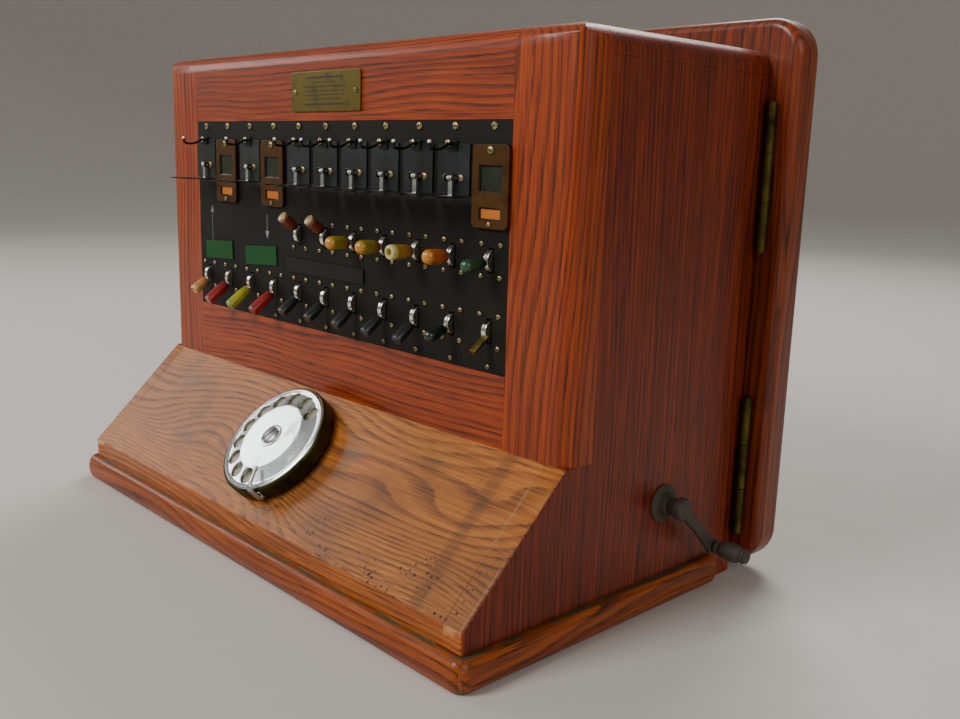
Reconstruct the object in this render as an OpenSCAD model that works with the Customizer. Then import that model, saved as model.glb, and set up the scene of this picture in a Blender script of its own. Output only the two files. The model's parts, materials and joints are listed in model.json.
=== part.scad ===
// Table-top telephone switchboard: an oak case with a sloping desk, a black face panel that
// carries a row of drop indicators and two rows of lever keys, a rotary dial on the desk,
// a hand-cranked ringing generator inside and a hinged door at the back.
// Millimetres, +Z up. The front faces -Y. The origin is the centre of the base's underside.

/* [Case] */
// Depth of the upright case, from its front face back to the door
case_d = 158; // [150:1:200]
// Depth of the desk in front of the front face
desk_d = 68; // [60:1:90]
// Height of the desk's front edge
desk_edge_z = 30; // [26:1:36]
// Height at which the desk's slope meets the front face
slope_top_z = 96.5; // [90:0.5:120]
// Thickness of the side, top and desk boards
board_t = 14; // [11:0.5:17]
// Thickness of the front frame
frame_t = 20; // [16:0.5:21]
// Width of the two upright members of the front frame
stile_w = 45.5; // [38:0.5:56]
// Height of the frame's rail above the face panel
top_rail_h = 45; // [40:0.5:56]
// Height of the frame's rail below the face panel
bottom_rail_h = 40; // [33:0.5:50]
// Radius of the rounded edges of the upright case
edge_r = 11; // [6:0.5:11]
// Width of the ledge that holds the face panel from behind
panel_ledge = 2.8; // [1.5:0.1:2.8]

/* [Base] */
// Thickness of the base board
plinth_t = 17.5; // [14:0.5:21]
// How far the base board stands out at the front and the sides
plinth_out = 7; // [3:0.5:9]
// How far short of the case's back the overhanging part of the base ends
plinth_back_cut = 24; // [20:1:30]

/* [Back door] */
// Thickness of the door
door_t = 22; // [18:0.5:27]
// How far the door stands out past the sides and the top of the case
door_over = 18; // [14:0.5:22]
// Radius of the door's corners
door_corner_r = 22; // [12:1:27]
// Gap between the case and the closed door
door_gap = 2.6; // [2.6:0.1:4]
// Height of the door's lower edge
door_foot = 6; // [4:0.5:10]

/* [Hinges] */
// Length of each hinge
hinge_l = 85; // [60:1:102]
// Height of the middle of the lower hinge
hinge_low_z = 69.5; // [64:0.5:80]
// Distance from the top of the case down to the middle of the upper hinge
hinge_top_drop = 71.5; // [60:0.5:86]
// Radius of the hinge barrel
knuckle_r = 3.2; // [2.8:0.1:3.4]
// Radius of the hinge pin
hinge_pin_r = 1.6; // [1.2:0.1:1.9]
// Distance of the barrel's axis outside the case's side
barrel_out = 4.5; // [4:0.1:5.4]
// Distance of the barrel's axis in front of the door's inner face
barrel_fore = 3.6; // [3.5:0.1:4.2]
// Thickness of the hinge leaves
leaf_t = 1.2; // [0.8:0.1:1.2]

/* [Face panel] */
// Spacing of the eleven columns of indicators and keys
col_pitch = 30; // [25:0.5:36]
// Distance from the outer columns to the panel's ends
col_margin = 13.2; // [13.2:0.1:18]
// Thickness of the panel
panel_t = 6; // [5.6:0.1:8]
// Clearance between the panel and its frame, on each side
panel_clear = 0.3; // [0.1:0.1:0.6]
// Height of the lower row of keys above the panel's lower edge
low_row_up = 22.8; // [21:0.1:28]
// Distance between the two rows of keys
key_row_pitch = 37.5; // [31:0.5:45]
// Distance from the upper row of keys up to the hinges of the drops
drop_rise = 41.7; // [36:0.1:50]
// Distance from the hinges of the drops up to the panel's upper edge
drop_top = 30.5; // [30:0.5:37]

/* [Keys] */
// Radius of a key's cam wheel
cam_r = 6.3; // [5.6:0.1:6.5]
// Thickness of a key's cam wheel
cam_t = 3.4; // [2.8:0.1:3.8]
// Depth of a key's axle behind the panel's face
axle_in = 2; // [1.8:0.1:2.2]
// Radius of a key's axle
axle_r = 1.2; // [1:0.05:1.3]
// Length of a key's axle
axle_l = 11.6; // [10:0.2:12]
// Radius of the stem that carries the grip
stem_r = 1.3; // [1:0.05:1.5]
// Angle of a raised key above the horizontal
key_up_a = 38; // [25:1:40]
// Angle of a lowered key below the horizontal
key_down_a = 37; // [25:1:40]
// Running clearance round an axle or a pin
pin_clear = 0.05; // [0.02:0.01:0.08]

/* [Drops] */
// Length of a fallen shutter, from its hinge line outward
flap_l = 21; // [18:0.5:23]
// Length of the arm that joins a shutter to its hinge
flap_arm_l = 10; // [9:0.5:12]
// Thickness of a shutter
flap_t = 0.8; // [0.6:0.1:1]
// How much narrower than a column a shutter is
flap_gap = 5; // [4:0.5:8]
// How much narrower than a column an indicator cover is
cover_gap = 3; // [2:0.5:5]
// Height of an indicator cover
cover_h = 43; // [41:0.5:44]
// How far the latch of a drop reaches out
latch_l = 17; // [15:0.5:19]
// How much narrower than a column a coil is
coil_gap = 10; // [10:0.5:14]
// Length of a coil
coil_l = 60; // [40:1:80]

/* [Dial] */
// Radius of the finger wheel
wheel_r = 38; // [32:0.5:38]
// Height of the finger wheel's face above the desk
wheel_top_h = 14; // [12:0.5:18]
// Thickness of the finger wheel
wheel_t = 1.8; // [1.2:0.1:2.4]
// Distance from the desk's front edge up the slope to the dial's centre
dial_up = 50; // [44:0.5:52]
// Radius of a finger hole
finger_hole_r = 5.3; // [4.6:0.1:5.4]
// Angle between neighbouring finger holes
finger_hole_step = 25; // [24:0.5:28]
// Angle of the first finger hole, from the right-hand side
finger_hole_a0 = 52; // [40:1:60]
// Angle of the finger stop, from the right-hand side
stop_a = -63; // [-66:1:-50]

/* [Crank] */
// Distance of the crank's shaft behind the front face
crank_back = 84; // [78:1:96]
// Height of the crank's shaft
crank_z = 61; // [58:0.5:70]
// Radius of the crank's shaft
shaft_r = 4; // [3:0.25:4.5]
// Distance from the shaft to the grip
crank_throw = 42.6; // [36:0.2:46]
// Angle of the crank at rest, below the horizontal towards the back
crank_rest_a = 43; // [0:1:90]
// Length of the crank's grip
crank_grip_l = 20; // [14:0.5:24]
// Radius of the crank's grip
crank_grip_r = 5.5; // [5:0.25:8]

/* [Generator] */
// Module of the gear teeth
tooth_m = 1.2; // [1:0.05:1.3]
// Teeth of the large gear
gear_teeth = 50; // [44:1:52]
// Teeth of the pinion
pinion_teeth = 10; // [9:1:12]
// Radius of the armature
rotor_r = 12; // [9:0.5:13]
// Length of the magnet stack
magnet_l = 64; // [48:1:76]

/* [Hidden] */
$fn = 48;

columns = 11;
column_names = ["01", "02", "03", "04", "05", "06", "07", "08", "09", "10", "11"];
cover_columns = [2, 4, 11];
drop_columns = [1, 3, 5, 6, 7, 8, 9, 10];

panel_w = (columns - 1) * col_pitch + 2 * col_margin;
case_w = panel_w + 2 * stile_w;
panel_h = low_row_up + key_row_pitch + drop_rise + drop_top;
panel_z = slope_top_z + bottom_rail_h;
case_h = panel_z + panel_h + top_rail_h;
plinth_d = plinth_out + desk_d + case_d;
face_y = -plinth_d / 2 + plinth_out + desk_d;
slope_rise = slope_top_z - desk_edge_z;
slope_a = atan(slope_rise / desk_d);

low_row_z = panel_z + low_row_up;
up_row_z = low_row_z + key_row_pitch;
drop_z = up_row_z + drop_rise;
function column_x(i) = (i - (columns + 1) / 2) * col_pitch;

// Key grips: column, kind of grip, rest angle above the horizontal, colour of the grip.
// Each kind is [length from the axle to the tip, radius at the root, radius at the tip].
slim_grip = [21.5, 2.8, 3.4];
long_grip = [26, 3.2, 3.8];
stout_grip = [23, 3.6, 4.3];
domed_grip = [22.5, 2.9, 3.6];
short_grip = [20, 3, 3.6];
bare_stem = [17, 0, 0];
lower_keys = [
    [1, short_grip, -key_down_a, "burlywood"], [2, long_grip, -key_down_a, "firebrick"],
    [3, long_grip, -key_down_a, "yellowgreen"], [4, long_grip, -key_down_a, "firebrick"],
    [5, slim_grip, -key_down_a, "dimgray"], [6, slim_grip, -key_down_a, "dimgray"],
    [7, slim_grip, -key_down_a, "dimgray"], [8, slim_grip, -key_down_a, "dimgray"],
    [9, slim_grip, -key_down_a, "dimgray"], [10, slim_grip, -18, "darkslategray"],
    [11, bare_stem, -key_down_a, "silver"]];
upper_keys = [
    [5, short_grip, key_up_a, "peru"], [6, short_grip, key_up_a, "sienna"],
    [7, stout_grip, 0, "darkkhaki"], [8, stout_grip, 0, "goldenrod"],
    [9, stout_grip, 0, "tan"], [10, stout_grip, 0, "goldenrod"],
    [11, domed_grip, -6, "darkslategray"]];

grip_start = cam_r + 1;
grip_end_cap = 2;
grip_clear = 0.05;
slot_side_gap = 0.4;
slot_end_gap = 0.4;
screw_r = 1.6;
screw_h = 1;
key_screw_x = 7.2;
key_screw_z = 8.5;
frame_screw_z = 19.3;
drop_screw_x = 6;
top_screw_drop = 3;
joint_gap = 0.1;

drop_plate_t = 1;
drop_plate_w = col_pitch - 4.5;
drop_plate_up = 18;
drop_plate_down = 9;
flap_pin_r = 0.8;
flap_pin_out = 3;
flap_pin_l = 9.2;
flap_arm_w = 5;
flap_notch = 6;
ear_x = 3.1;
ear_t = 1;
latch_z = 17;
latch_w = 2.4;
latch_h = 2;

cover_t = 2.5;
cover_w = col_pitch - cover_gap;
window_w = cover_w * 0.64;
window_h = 13.7;
window_z = 0.5;
card_w = cover_w * 0.6;
card_h = 6.5;
card_z = -17.5;

coil_r = (col_pitch - coil_gap) / 2;
coil_z = drop_z + 10;
pack_h = key_row_pitch - 3.5;
pack_w = 16;

dial_case_r = wheel_r + 1.5;
number_plate_t = 0.9;
wheel_gap = 0.8;
number_plate_top = wheel_top_h - wheel_t - wheel_gap;
spindle_r = 3;
finger_ring_r = wheel_r - finger_hole_r - 3.4;
dial_well_r = wheel_r - 3;

side_x = case_w / 2;
inner_x = side_x - board_t;
axle_gap = tooth_m * (gear_teeth + pinion_teeth) / 2;
rotor_back = crank_back - axle_gap;
gear_w = 6;
gear_x = inner_x - gear_w - 6.5;
end_plate_t = 4;
outer_plate_x = gear_x - 6 - end_plate_t;
inner_plate_x = outer_plate_x - magnet_l - 4 - end_plate_t;
rotor_shaft_r = 3;
pole_gap = 0.6;
magnet_in = rotor_r + 4;
magnet_wall = 10;
bush_r = 6;
boss_h = 6;
crank_hub_x = side_x + boss_h + 1.5;
crank_hub_l = 9;
crank_hub_r = 6.5;
arm_t = 4.5;
arm_w = 9.5;
crank_pin_r = 2.5;
grip_x = crank_hub_x + crank_hub_l + 0.5;
barrel_x = side_x + barrel_out;
barrel_y = case_d + door_gap - barrel_fore;
knuckle_gap = 0.3;

oak = "sienna";
brass = "darkgoldenrod";

// Everything below is placed from the front face: y = 0 is the face, y > 0 is inside the case.
module from_face() translate([0, face_y, 0]) children();

// Places children along X: a profile drawn as (y, z) becomes a bar from x0 to x1.
module bar_x(x0, x1)
    translate([x0, 0, 0]) rotate([90, 0, 90]) linear_extrude(x1 - x0) children();

// A cylinder along X from x0 to x1, about the axis through (y, z).
module rod_x(r, x0, x1, y = 0, z = 0)
    translate([x0, y, z]) rotate([0, 90, 0]) cylinder(r = r, h = x1 - x0);

// A cylinder along Y from y0 to y1, about the axis through (x, z).
module rod_y(r, y0, y1, x = 0, z = 0)
    translate([x, y1, z]) rotate([90, 0, 0]) cylinder(r = r, h = y1 - y0);

// A box given by its lowest and highest corners.
module block(a, b) translate(a) cube(b - a);

// A rectangle with round corners, drawn from its lower left corner.
module round_rect(w, h, r) {
    translate([r, 0]) square([w - 2 * r, h]);
    translate([0, r]) square([w, h - 2 * r]);
    for (x = [r, w - r], y = [r, h - r]) translate([x, y]) circle(r);
}

// The upright case's outside, with its upper and front edges rounded.
module case_round(x0, x1, z0) {
    intersection() {
        block([x0, 0, z0], [x1, frame_t, case_h]);
        translate([-side_x, frame_t, case_h - 2 * side_x]) rotate([90, 0, 0])
            linear_extrude(frame_t) round_rect(2 * side_x, 2 * side_x, edge_r);
        translate([-side_x, 0, 0]) linear_extrude(case_h)
            round_rect(2 * side_x, 4 * side_x, edge_r);
        bar_x(-side_x, side_x) translate([0, case_h - 2 * side_x])
            round_rect(4 * side_x, 2 * side_x, edge_r);
    }
}

module base_board() color(oak) from_face() {
    wide = case_w + 2 * plinth_out;
    front = -desk_d - plinth_out;
    nose = plinth_t / 2;
    cut = case_d - plinth_back_cut;
    union() {
        intersection() {
            translate([-wide / 2, cut, 0]) rotate([90, 0, 0])
                linear_extrude(cut - front) round_rect(wide, plinth_t, nose * 0.98);
            bar_x(-wide / 2, wide / 2) translate([front, 0])
                round_rect(2 * wide, plinth_t, nose * 0.98);
        }
        block([-side_x, cut - 1, 0], [side_x, case_d, plinth_t]);
    }
}

module side_board() bar_x(inner_x, side_x) polygon([
    [case_d, plinth_t], [case_d, case_h - board_t], [frame_t, case_h - board_t],
    [frame_t, slope_top_z], [0, slope_top_z], [-desk_d, desk_edge_z], [-desk_d, plinth_t]]);

module left_side() color(oak) from_face() mirror([1, 0, 0]) side_board();

module right_side() color(oak) from_face() difference() {
    side_board();
    rod_x(bush_r, inner_x - 1, side_x + 1, crank_back, crank_z);
}

module top_board() color(oak) from_face() intersection() {
    block([-side_x, frame_t, case_h - board_t], [side_x, case_d, case_h]);
    translate([-side_x, case_d, case_h - 2 * side_x]) rotate([90, 0, 0])
        linear_extrude(case_d - frame_t) round_rect(2 * side_x, 2 * side_x, edge_r);
}

// The recess that the panel sits in, in front of the frame's ledge.
module frame_opening()
    block([-panel_w / 2 - 1, -1, panel_z], [panel_w / 2 + 1, panel_t, panel_z + panel_h]);

module front_frame() color(oak) from_face() {
    stile_in = side_x - stile_w;
    rail_end = stile_in - joint_gap;
    low = panel_z + panel_ledge;
    high = panel_z + panel_h - panel_ledge;
    for (m = [0, 1]) mirror([m, 0, 0]) union() {
        case_round(stile_in, side_x, slope_top_z);
        block([stile_in - panel_ledge, panel_t, low + joint_gap],
              [stile_in + 1, frame_t, high - joint_gap]);
    }
    difference() {
        case_round(-rail_end, rail_end, high);
        frame_opening();
    }
    difference() {
        block([-rail_end, 0, slope_top_z], [rail_end, frame_t, low]);
        frame_opening();
    }
}

module desk_board() color("peru") from_face() bar_x(-inner_x, inner_x) {
    under_z = slope_top_z - board_t / cos(slope_a);
    under_y = -(under_z - desk_edge_z) / tan(slope_a);
    polygon([[frame_t, slope_top_z], [0, slope_top_z], [-desk_d, desk_edge_z],
             [under_y, desk_edge_z], [0, under_z], [frame_t, under_z]]);
}

module desk_front_rail() color("chocolate") from_face()
    block([-inner_x, -desk_d, plinth_t], [inner_x, -desk_d + board_t, desk_edge_z]);

// The slot and the axle's seat of one key, cut through the panel.
module key_cut(x, z) translate([x, 0, z]) {
    block([-cam_t / 2 - slot_side_gap, -1, -cam_r - slot_end_gap],
          [cam_t / 2 + slot_side_gap, panel_t + 1, cam_r + slot_end_gap]);
    rod_x(axle_r + pin_clear, -axle_l / 2 - 0.2, axle_l / 2 + 0.2, axle_in);
    block([-axle_l / 2 - 0.2, axle_in, -axle_r - pin_clear],
          [axle_l / 2 + 0.2, panel_t + 1, axle_r + pin_clear]);
}

module face_panel() color([0.1, 0.11, 0.11]) from_face() difference() {
    block([-panel_w / 2 + panel_clear, 0, panel_z + panel_clear],
          [panel_w / 2 - panel_clear, panel_t, panel_z + panel_h - panel_clear]);
    for (k = lower_keys) key_cut(column_x(k[0]), low_row_z);
    for (k = upper_keys) key_cut(column_x(k[0]), up_row_z);
}

module name_plate() color(brass) from_face() {
    w = 73;
    h = 24;
    z = case_h - top_rail_h * 0.61;
    block([-w / 2, -1.2, z - h / 2], [w / 2, 0, z + h / 2]);
    for (s = [-1, 1]) rod_y(screw_r, -1.2 - screw_h, -1.2, s * (w / 2 - 4.5), z);
}

// One label strip, centred at (x, z) and turned by a degrees.
module label(x, z, w, h, a)
    translate([x, 0, z]) rotate([0, -a, 0]) block([-w / 2, -0.8, -h / 2], [w / 2, 0, h / 2]);

module label_strips() from_face() {
    z = low_row_z + key_row_pitch / 2;
    band = key_row_pitch - 2 * (key_screw_z + screw_r);
    color("forestgreen") label(column_x(1.5), z + 0.2, col_pitch + 8, band - 4.3, 3);
    color("forestgreen") label(column_x(3.4), z + 1, col_pitch + 10, band - 4.3, 4);
    color("saddlebrown") label(column_x(5.9), z - 1.6, 2 * col_pitch + 25, band - 7.8, 0);
}

module drop_plates() color("dimgray") from_face() for (c = drop_columns)
    translate([column_x(c), 0, drop_z]) difference() {
        union() {
            block([-drop_plate_w / 2, -drop_plate_t, -drop_plate_down],
                  [drop_plate_w / 2, 0, drop_plate_up]);
            for (s = [-1, 1]) {
                near = s > 0 ? ear_x : -ear_x - ear_t;
                block([near, -flap_pin_out - 1.5, -1.8], [near + ear_t, -drop_plate_t, 1.8]);
            }
        }
        rod_x(flap_pin_r + pin_clear, -ear_x - ear_t - 1, ear_x + ear_t + 1, -flap_pin_out);
    }

module drop_latches() color("darkslategray") from_face() for (c = drop_columns)
    translate([column_x(c), -drop_plate_t, drop_z + latch_z]) {
        block([-5.5, -0.8, -3], [3, 0, latch_h + 1]);
        block([-latch_w / 2, -latch_l, 0], [latch_w / 2, -0.8, latch_h]);
        block([-latch_w / 2, -latch_l - 1.2, 0], [latch_w / 2, -latch_l, latch_h + 4]);
    }

module drop_coils() color("saddlebrown") from_face() for (c = [1 : columns]) {
    cheek = 2;
    x = column_x(c);
    rod_y(coil_r, panel_t, panel_t + cheek, x, coil_z);
    rod_y(coil_r - 1, panel_t + cheek, panel_t + coil_l - cheek, x, coil_z);
    rod_y(coil_r, panel_t + coil_l - cheek, panel_t + coil_l, x, coil_z);
}

module indicator_covers() color("sienna") from_face() for (c = cover_columns)
    translate([column_x(c), 0, drop_z]) difference() {
        translate([-cover_w / 2, 0, drop_plate_up - cover_h]) rotate([90, 0, 0])
            linear_extrude(cover_t) round_rect(cover_w, cover_h, 3);
        block([-window_w / 2, -cover_t - 1, window_z - window_h / 2],
              [window_w / 2, 1, window_z + window_h / 2]);
        block([-card_w / 2, -cover_t - 1, card_z - card_h / 2],
              [card_w / 2, 1, card_z + card_h / 2]);
    }

module indicator_windows() from_face() for (c = cover_columns)
    translate([column_x(c), 0, drop_z]) {
        color("darkgreen") block([-window_w / 2, -cover_t / 2, window_z - window_h / 2],
                                 [window_w / 2, 0, window_z + window_h / 2]);
        color("orange") block([-card_w / 2, -cover_t / 2, card_z - card_h / 2],
                              [card_w / 2, 0, card_z + card_h / 2]);
    }

// A screw head on the panel at (x, z), standing on a plate that is out_y thick.
module screw_head(x, z, out_y = 0) rod_y(screw_r, -out_y - screw_h, -out_y, x, z);

module panel_screws() color("lightgray") from_face() {
    for (c = [1 : columns]) {
        screw_head(column_x(c), panel_z + panel_h - panel_clear - top_screw_drop);
        screw_head(column_x(c), low_row_z - frame_screw_z);
    }
    for (c = drop_columns) {
        screw_head(column_x(c) - 3.6, drop_z + latch_z + 1, drop_plate_t + 0.8);
        for (s = [-1, 1]) screw_head(column_x(c) + s * drop_screw_x, drop_z, drop_plate_t);
    }
    for (c = cover_columns, z = [drop_plate_up - 3, drop_plate_up - cover_h + 2.2])
        screw_head(column_x(c), drop_z + z, cover_t);
    for (s = [-1, 1], t = [-1, 1]) {
        for (k = lower_keys)
            screw_head(column_x(k[0]) + s * key_screw_x, low_row_z + t * key_screw_z);
        for (k = upper_keys)
            screw_head(column_x(k[0]) + s * key_screw_x, up_row_z + t * key_screw_z);
    }
}

// The contact springs of one key, on a plate behind the panel that keeps the axle in its seat.
module spring_pack(x, z) translate([x, panel_t, z]) {
    slot_x = cam_t / 2 + slot_side_gap;
    union() {
        difference() {
            block([-pack_w / 2, 0, -pack_h / 2], [pack_w / 2, 2, pack_h / 2]);
            block([-slot_x, -1, -cam_r - slot_end_gap], [slot_x, 3, cam_r + slot_end_gap]);
        }
        for (s = [0, 1]) mirror([s, 0, 0]) {
            block([slot_x + 0.3, axle_in + axle_r + 0.1 - panel_t, -axle_r + 0.1],
                  [axle_l / 2, 0.5, axle_r - 0.1]);
            block([slot_x + 0.5, 1.5, -10], [slot_x + 3.5, 18, 10]);
        }
        block([-slot_x - 3.5, 16, -10], [slot_x + 3.5, 24, 10]);
        for (t = [-7.5, -2.5, 2.5, 7.5]) block([-3, 23, t - 0.3], [3, 54, t + 0.3]);
    }
}

module key_spring_packs() color("silver") from_face() {
    for (k = lower_keys) spring_pack(column_x(k[0]), low_row_z);
    for (k = upper_keys) spring_pack(column_x(k[0]), up_row_z);
}

// The outline of a grip, along the stem: a slow taper that ends in a rounded tip.
module grip_outline(kind) {
    length = kind[0] - grip_start;
    tip_r = kind[2];
    corner = tip_r * 0.55;
    difference() {
        union() {
            polygon([[0, 0], [kind[1], 0], [tip_r, length - corner], [tip_r - corner, length],
                     [0, length]]);
            translate([tip_r - corner, length - corner]) intersection() {
                circle(corner);
                square(corner);
            }
        }
        translate([-1, -1]) square([stem_r + grip_clear + 1, length - grip_end_cap + 1.2]);
    }
}

// One lever key about its axle: a cam wheel with its stem, and the grip on the stem.
module lever_key(k, row_z) {
    kind = k[1];
    bare = kind[1] == 0;
    from_face() translate([column_x(k[0]), axle_in, row_z]) rotate([-k[2], 0, 0]) {
        color("gainsboro") union() {
            rod_x(cam_r, -cam_t / 2, cam_t / 2);
            rod_x(axle_r, -axle_l / 2, axle_l / 2);
            rod_y(stem_r, -kind[0] + (bare ? 0 : grip_end_cap), 0);
        }
        if (!bare) color(k[3]) translate([0, -grip_start, 0]) rotate([90, 0, 0])
            rotate_extrude() grip_outline(kind);
    }
}

// One shutter about its hinge: the pin, the hanging arm and the plate that it carries.
module drop_flap(c) color("gainsboro") from_face()
    translate([column_x(c), -flap_pin_out, drop_z]) difference() {
        flap_w = col_pitch - flap_gap;
        union() {
            rod_x(flap_pin_r, -flap_pin_l / 2, flap_pin_l / 2);
            block([-flap_arm_w / 2, -flap_t / 2, -flap_arm_l], [flap_arm_w / 2, flap_t / 2, 0]);
            block([-flap_w / 2, -flap_l, -flap_arm_l], [flap_w / 2, flap_t / 2, -flap_arm_l + flap_t]);
        }
        block([-flap_notch / 2, -flap_l - 1, -flap_arm_l - 1],
              [flap_notch / 2, -flap_l + flap_notch, -flap_arm_l + flap_t + 1]);
    }

// The dial's own frame: the desk's surface is z = 0 and +Y runs up the slope.
module on_desk() from_face() translate([0, -desk_d, desk_edge_z]) rotate([slope_a, 0, 0])
    translate([0, dial_up, 0]) children();

module dial_case() color("darkolivegreen") on_desk() rotate_extrude() difference() {
    top = number_plate_top - number_plate_t;
    union() {
        square([dial_case_r - 3, top]);
        translate([0, 3]) square([dial_case_r, top - 3]);
        translate([dial_case_r - 3, 3]) circle(3);
        translate([dial_well_r + 2, 0]) square([dial_case_r - dial_well_r - 2, top + 1.6]);
    }
    translate([dial_well_r, top]) square([dial_case_r - dial_well_r - 1, 3]);
    translate([-1, 2]) square([spindle_r + pin_clear + 1, top]);
    translate([spindle_r + 4, 2]) square([dial_well_r - spindle_r - 7, top - 4]);
}

module dial_number_plate() color("ivory") on_desk() difference() {
    translate([0, 0, number_plate_top - number_plate_t])
        cylinder(r = dial_case_r - 1.2, h = number_plate_t);
    translate([0, 0, number_plate_top - number_plate_t - 1])
        cylinder(r = spindle_r + 1, h = number_plate_t + 2);
}

module finger_wheel() color("silver") on_desk() difference() {
    union() {
        translate([0, 0, wheel_top_h - wheel_t]) cylinder(r = wheel_r, h = wheel_t);
        translate([0, 0, 2.6]) cylinder(r = spindle_r, h = wheel_top_h - 3);
        translate([0, 0, wheel_top_h]) cylinder(r = 7.5, h = 0.8);
        translate([0, 0, wheel_top_h + 0.8]) cylinder(r = 4.2, h = 0.9);
    }
    for (i = [0 : 9]) rotate([0, 0, finger_hole_a0 + i * finger_hole_step])
        translate([finger_ring_r, 0, wheel_top_h - wheel_t - 1])
            cylinder(r = finger_hole_r, h = wheel_t + 2);
}

module finger_stop() color("silver") on_desk() rotate([0, 0, stop_a]) {
    out = dial_case_r + 2.4;
    over = wheel_top_h + 2.2;
    union() {
        block([dial_case_r, -3, 4], [out, 3, over + 1.2]);
        block([finger_ring_r - 5, -2.2, over], [out, 2.2, over + 1.2]);
    }
}

// A spur gear along X with blunt teeth; the first tooth points along +Y, turned by a degrees.
module spur(teeth, width, a) {
    r = tooth_m * teeth / 2;
    flank = [[r - 1.2 * tooth_m, 0.85], [r, 0.55], [r + 0.9 * tooth_m, 0.2]];
    half = function(i, s) [flank[i][0], s * flank[i][1] * tooth_m / flank[i][0] * 180 / PI];
    rotate([90, 0, 90]) linear_extrude(width) rotate(a) polygon([
        for (i = [0 : teeth - 1], p = [half(0, -1), half(1, -1), half(2, -1),
                                       half(2, 1), half(1, 1), half(0, 1)])
            p[0] * [cos(i * 360 / teeth + p[1]), sin(i * 360 / teeth + p[1])]]);
}

module generator_frame() color(brass) from_face() {
    foot_t = 4;
    foot_y0 = rotor_back - magnet_in - magnet_wall;
    foot_y1 = crank_back + 14;
    block([inner_plate_x, foot_y0, plinth_t],
          [outer_plate_x + end_plate_t, foot_y1, plinth_t + foot_t]);
    for (x = [inner_plate_x, outer_plate_x]) difference() {
        block([x, foot_y0, plinth_t + foot_t], [x + end_plate_t, foot_y1, crank_z + 14]);
        rod_x(shaft_r + pin_clear, x - 1, x + end_plate_t + 1, crank_back, crank_z);
        rod_x(rotor_shaft_r + pin_clear, x - 1, x + end_plate_t + 1, rotor_back, crank_z);
    }
    for (s = [0, 1]) translate([0, rotor_back, 0]) mirror([0, s, 0]) difference() {
        block([inner_plate_x + end_plate_t, 4, crank_z - rotor_r - 1],
              [outer_plate_x, magnet_in, crank_z + rotor_r + 1]);
        rod_x(rotor_r + pole_gap, inner_plate_x, outer_plate_x + 1, 0, crank_z);
    }
}

module generator_magnets() color("firebrick") from_face() {
    width = (magnet_l - 4) / 3;
    arch_z = crank_z + rotor_r + 12;
    outer = magnet_in + magnet_wall;
    for (i = [0 : 2]) {
        x = inner_plate_x + end_plate_t + 2 + i * (width + 2);
        bar_x(x, x + width) translate([rotor_back, 0]) difference() {
            union() {
                translate([-outer, crank_z - rotor_r]) square([2 * outer, arch_z - crank_z + rotor_r]);
                translate([0, arch_z]) circle(outer);
            }
            translate([-magnet_in, crank_z - rotor_r - 1])
                square([2 * magnet_in, arch_z - crank_z + rotor_r + 1]);
            translate([0, arch_z]) circle(magnet_in);
        }
    }
}

module generator_rotor() color("silver") from_face() translate([0, rotor_back, crank_z]) {
    rotor_x = inner_plate_x + end_plate_t + 1;
    union() {
        rod_x(rotor_shaft_r, inner_plate_x - 2, gear_x + gear_w + 1);
        rod_x(rotor_r, rotor_x, outer_plate_x - 1);
        translate([gear_x, 0, 0]) spur(pinion_teeth, gear_w, 180 + 180 / pinion_teeth);
    }
}

module drive_gear() color(brass) from_face() translate([gear_x, crank_back, crank_z])
    difference() {
        spur(gear_teeth, gear_w, 180);
        rod_x(shaft_r, -1, gear_w + 1);
    }

module crank_escutcheon() color("darkslategray") from_face()
    translate([0, crank_back, crank_z]) difference() {
        union() {
            rod_x(bush_r, inner_x, side_x + 1);
            rod_x(11, side_x, side_x + 2);
            rod_x(7, side_x + 1.6, side_x + boss_h);
        }
        rod_x(shaft_r + pin_clear, inner_x - 1, side_x + boss_h + 1);
    }

// The crank: shaft, hub, straight arm and the pin that its grip turns on.
module crank_arm() color("darkslategray") from_face()
    translate([0, crank_back, crank_z]) rotate([-crank_rest_a, 0, 0]) {
        arm_x = crank_hub_x + crank_hub_l - arm_t;
        head_x = grip_x + crank_grip_l + 0.3;
        rod_x(shaft_r, inner_plate_x - 2, crank_hub_x + crank_hub_l);
        difference() {
            union() {
                rod_x(crank_hub_r, crank_hub_x, crank_hub_x + crank_hub_l);
                block([arm_x, 0, -arm_w / 2], [arm_x + arm_t, crank_throw, arm_w / 2]);
                rod_x(arm_w / 2, arm_x, arm_x + arm_t, crank_throw);
                rod_x(crank_pin_r, arm_x + 1, head_x, crank_throw);
                rod_x(crank_pin_r + 1.3, head_x, head_x + 1.4, crank_throw);
            }
            rod_x(shaft_r, crank_hub_x - 1, crank_hub_x + crank_hub_l + 1);
        }
    }

module crank_grip() color("darkslategray") from_face()
    translate([0, crank_back, crank_z]) rotate([-crank_rest_a, 0, 0]) translate([0, crank_throw, 0])
        difference() {
            union() {
                rod_x(crank_grip_r - 1.2, grip_x, grip_x + crank_grip_l);
                rod_x(crank_grip_r, grip_x + 3, grip_x + crank_grip_l - 2);
            }
            rod_x(crank_pin_r + pin_clear, grip_x - 1, grip_x + crank_grip_l + 1);
        }

module back_door() color(oak) from_face() {
    wide = case_w + 2 * door_over;
    translate([-wide / 2, case_d + door_gap + door_t, door_foot]) rotate([90, 0, 0])
        linear_extrude(door_t) round_rect(wide, case_h + door_over - door_foot, door_corner_r);
}

hinge_zs = [hinge_low_z, case_h - hinge_top_drop];

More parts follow.
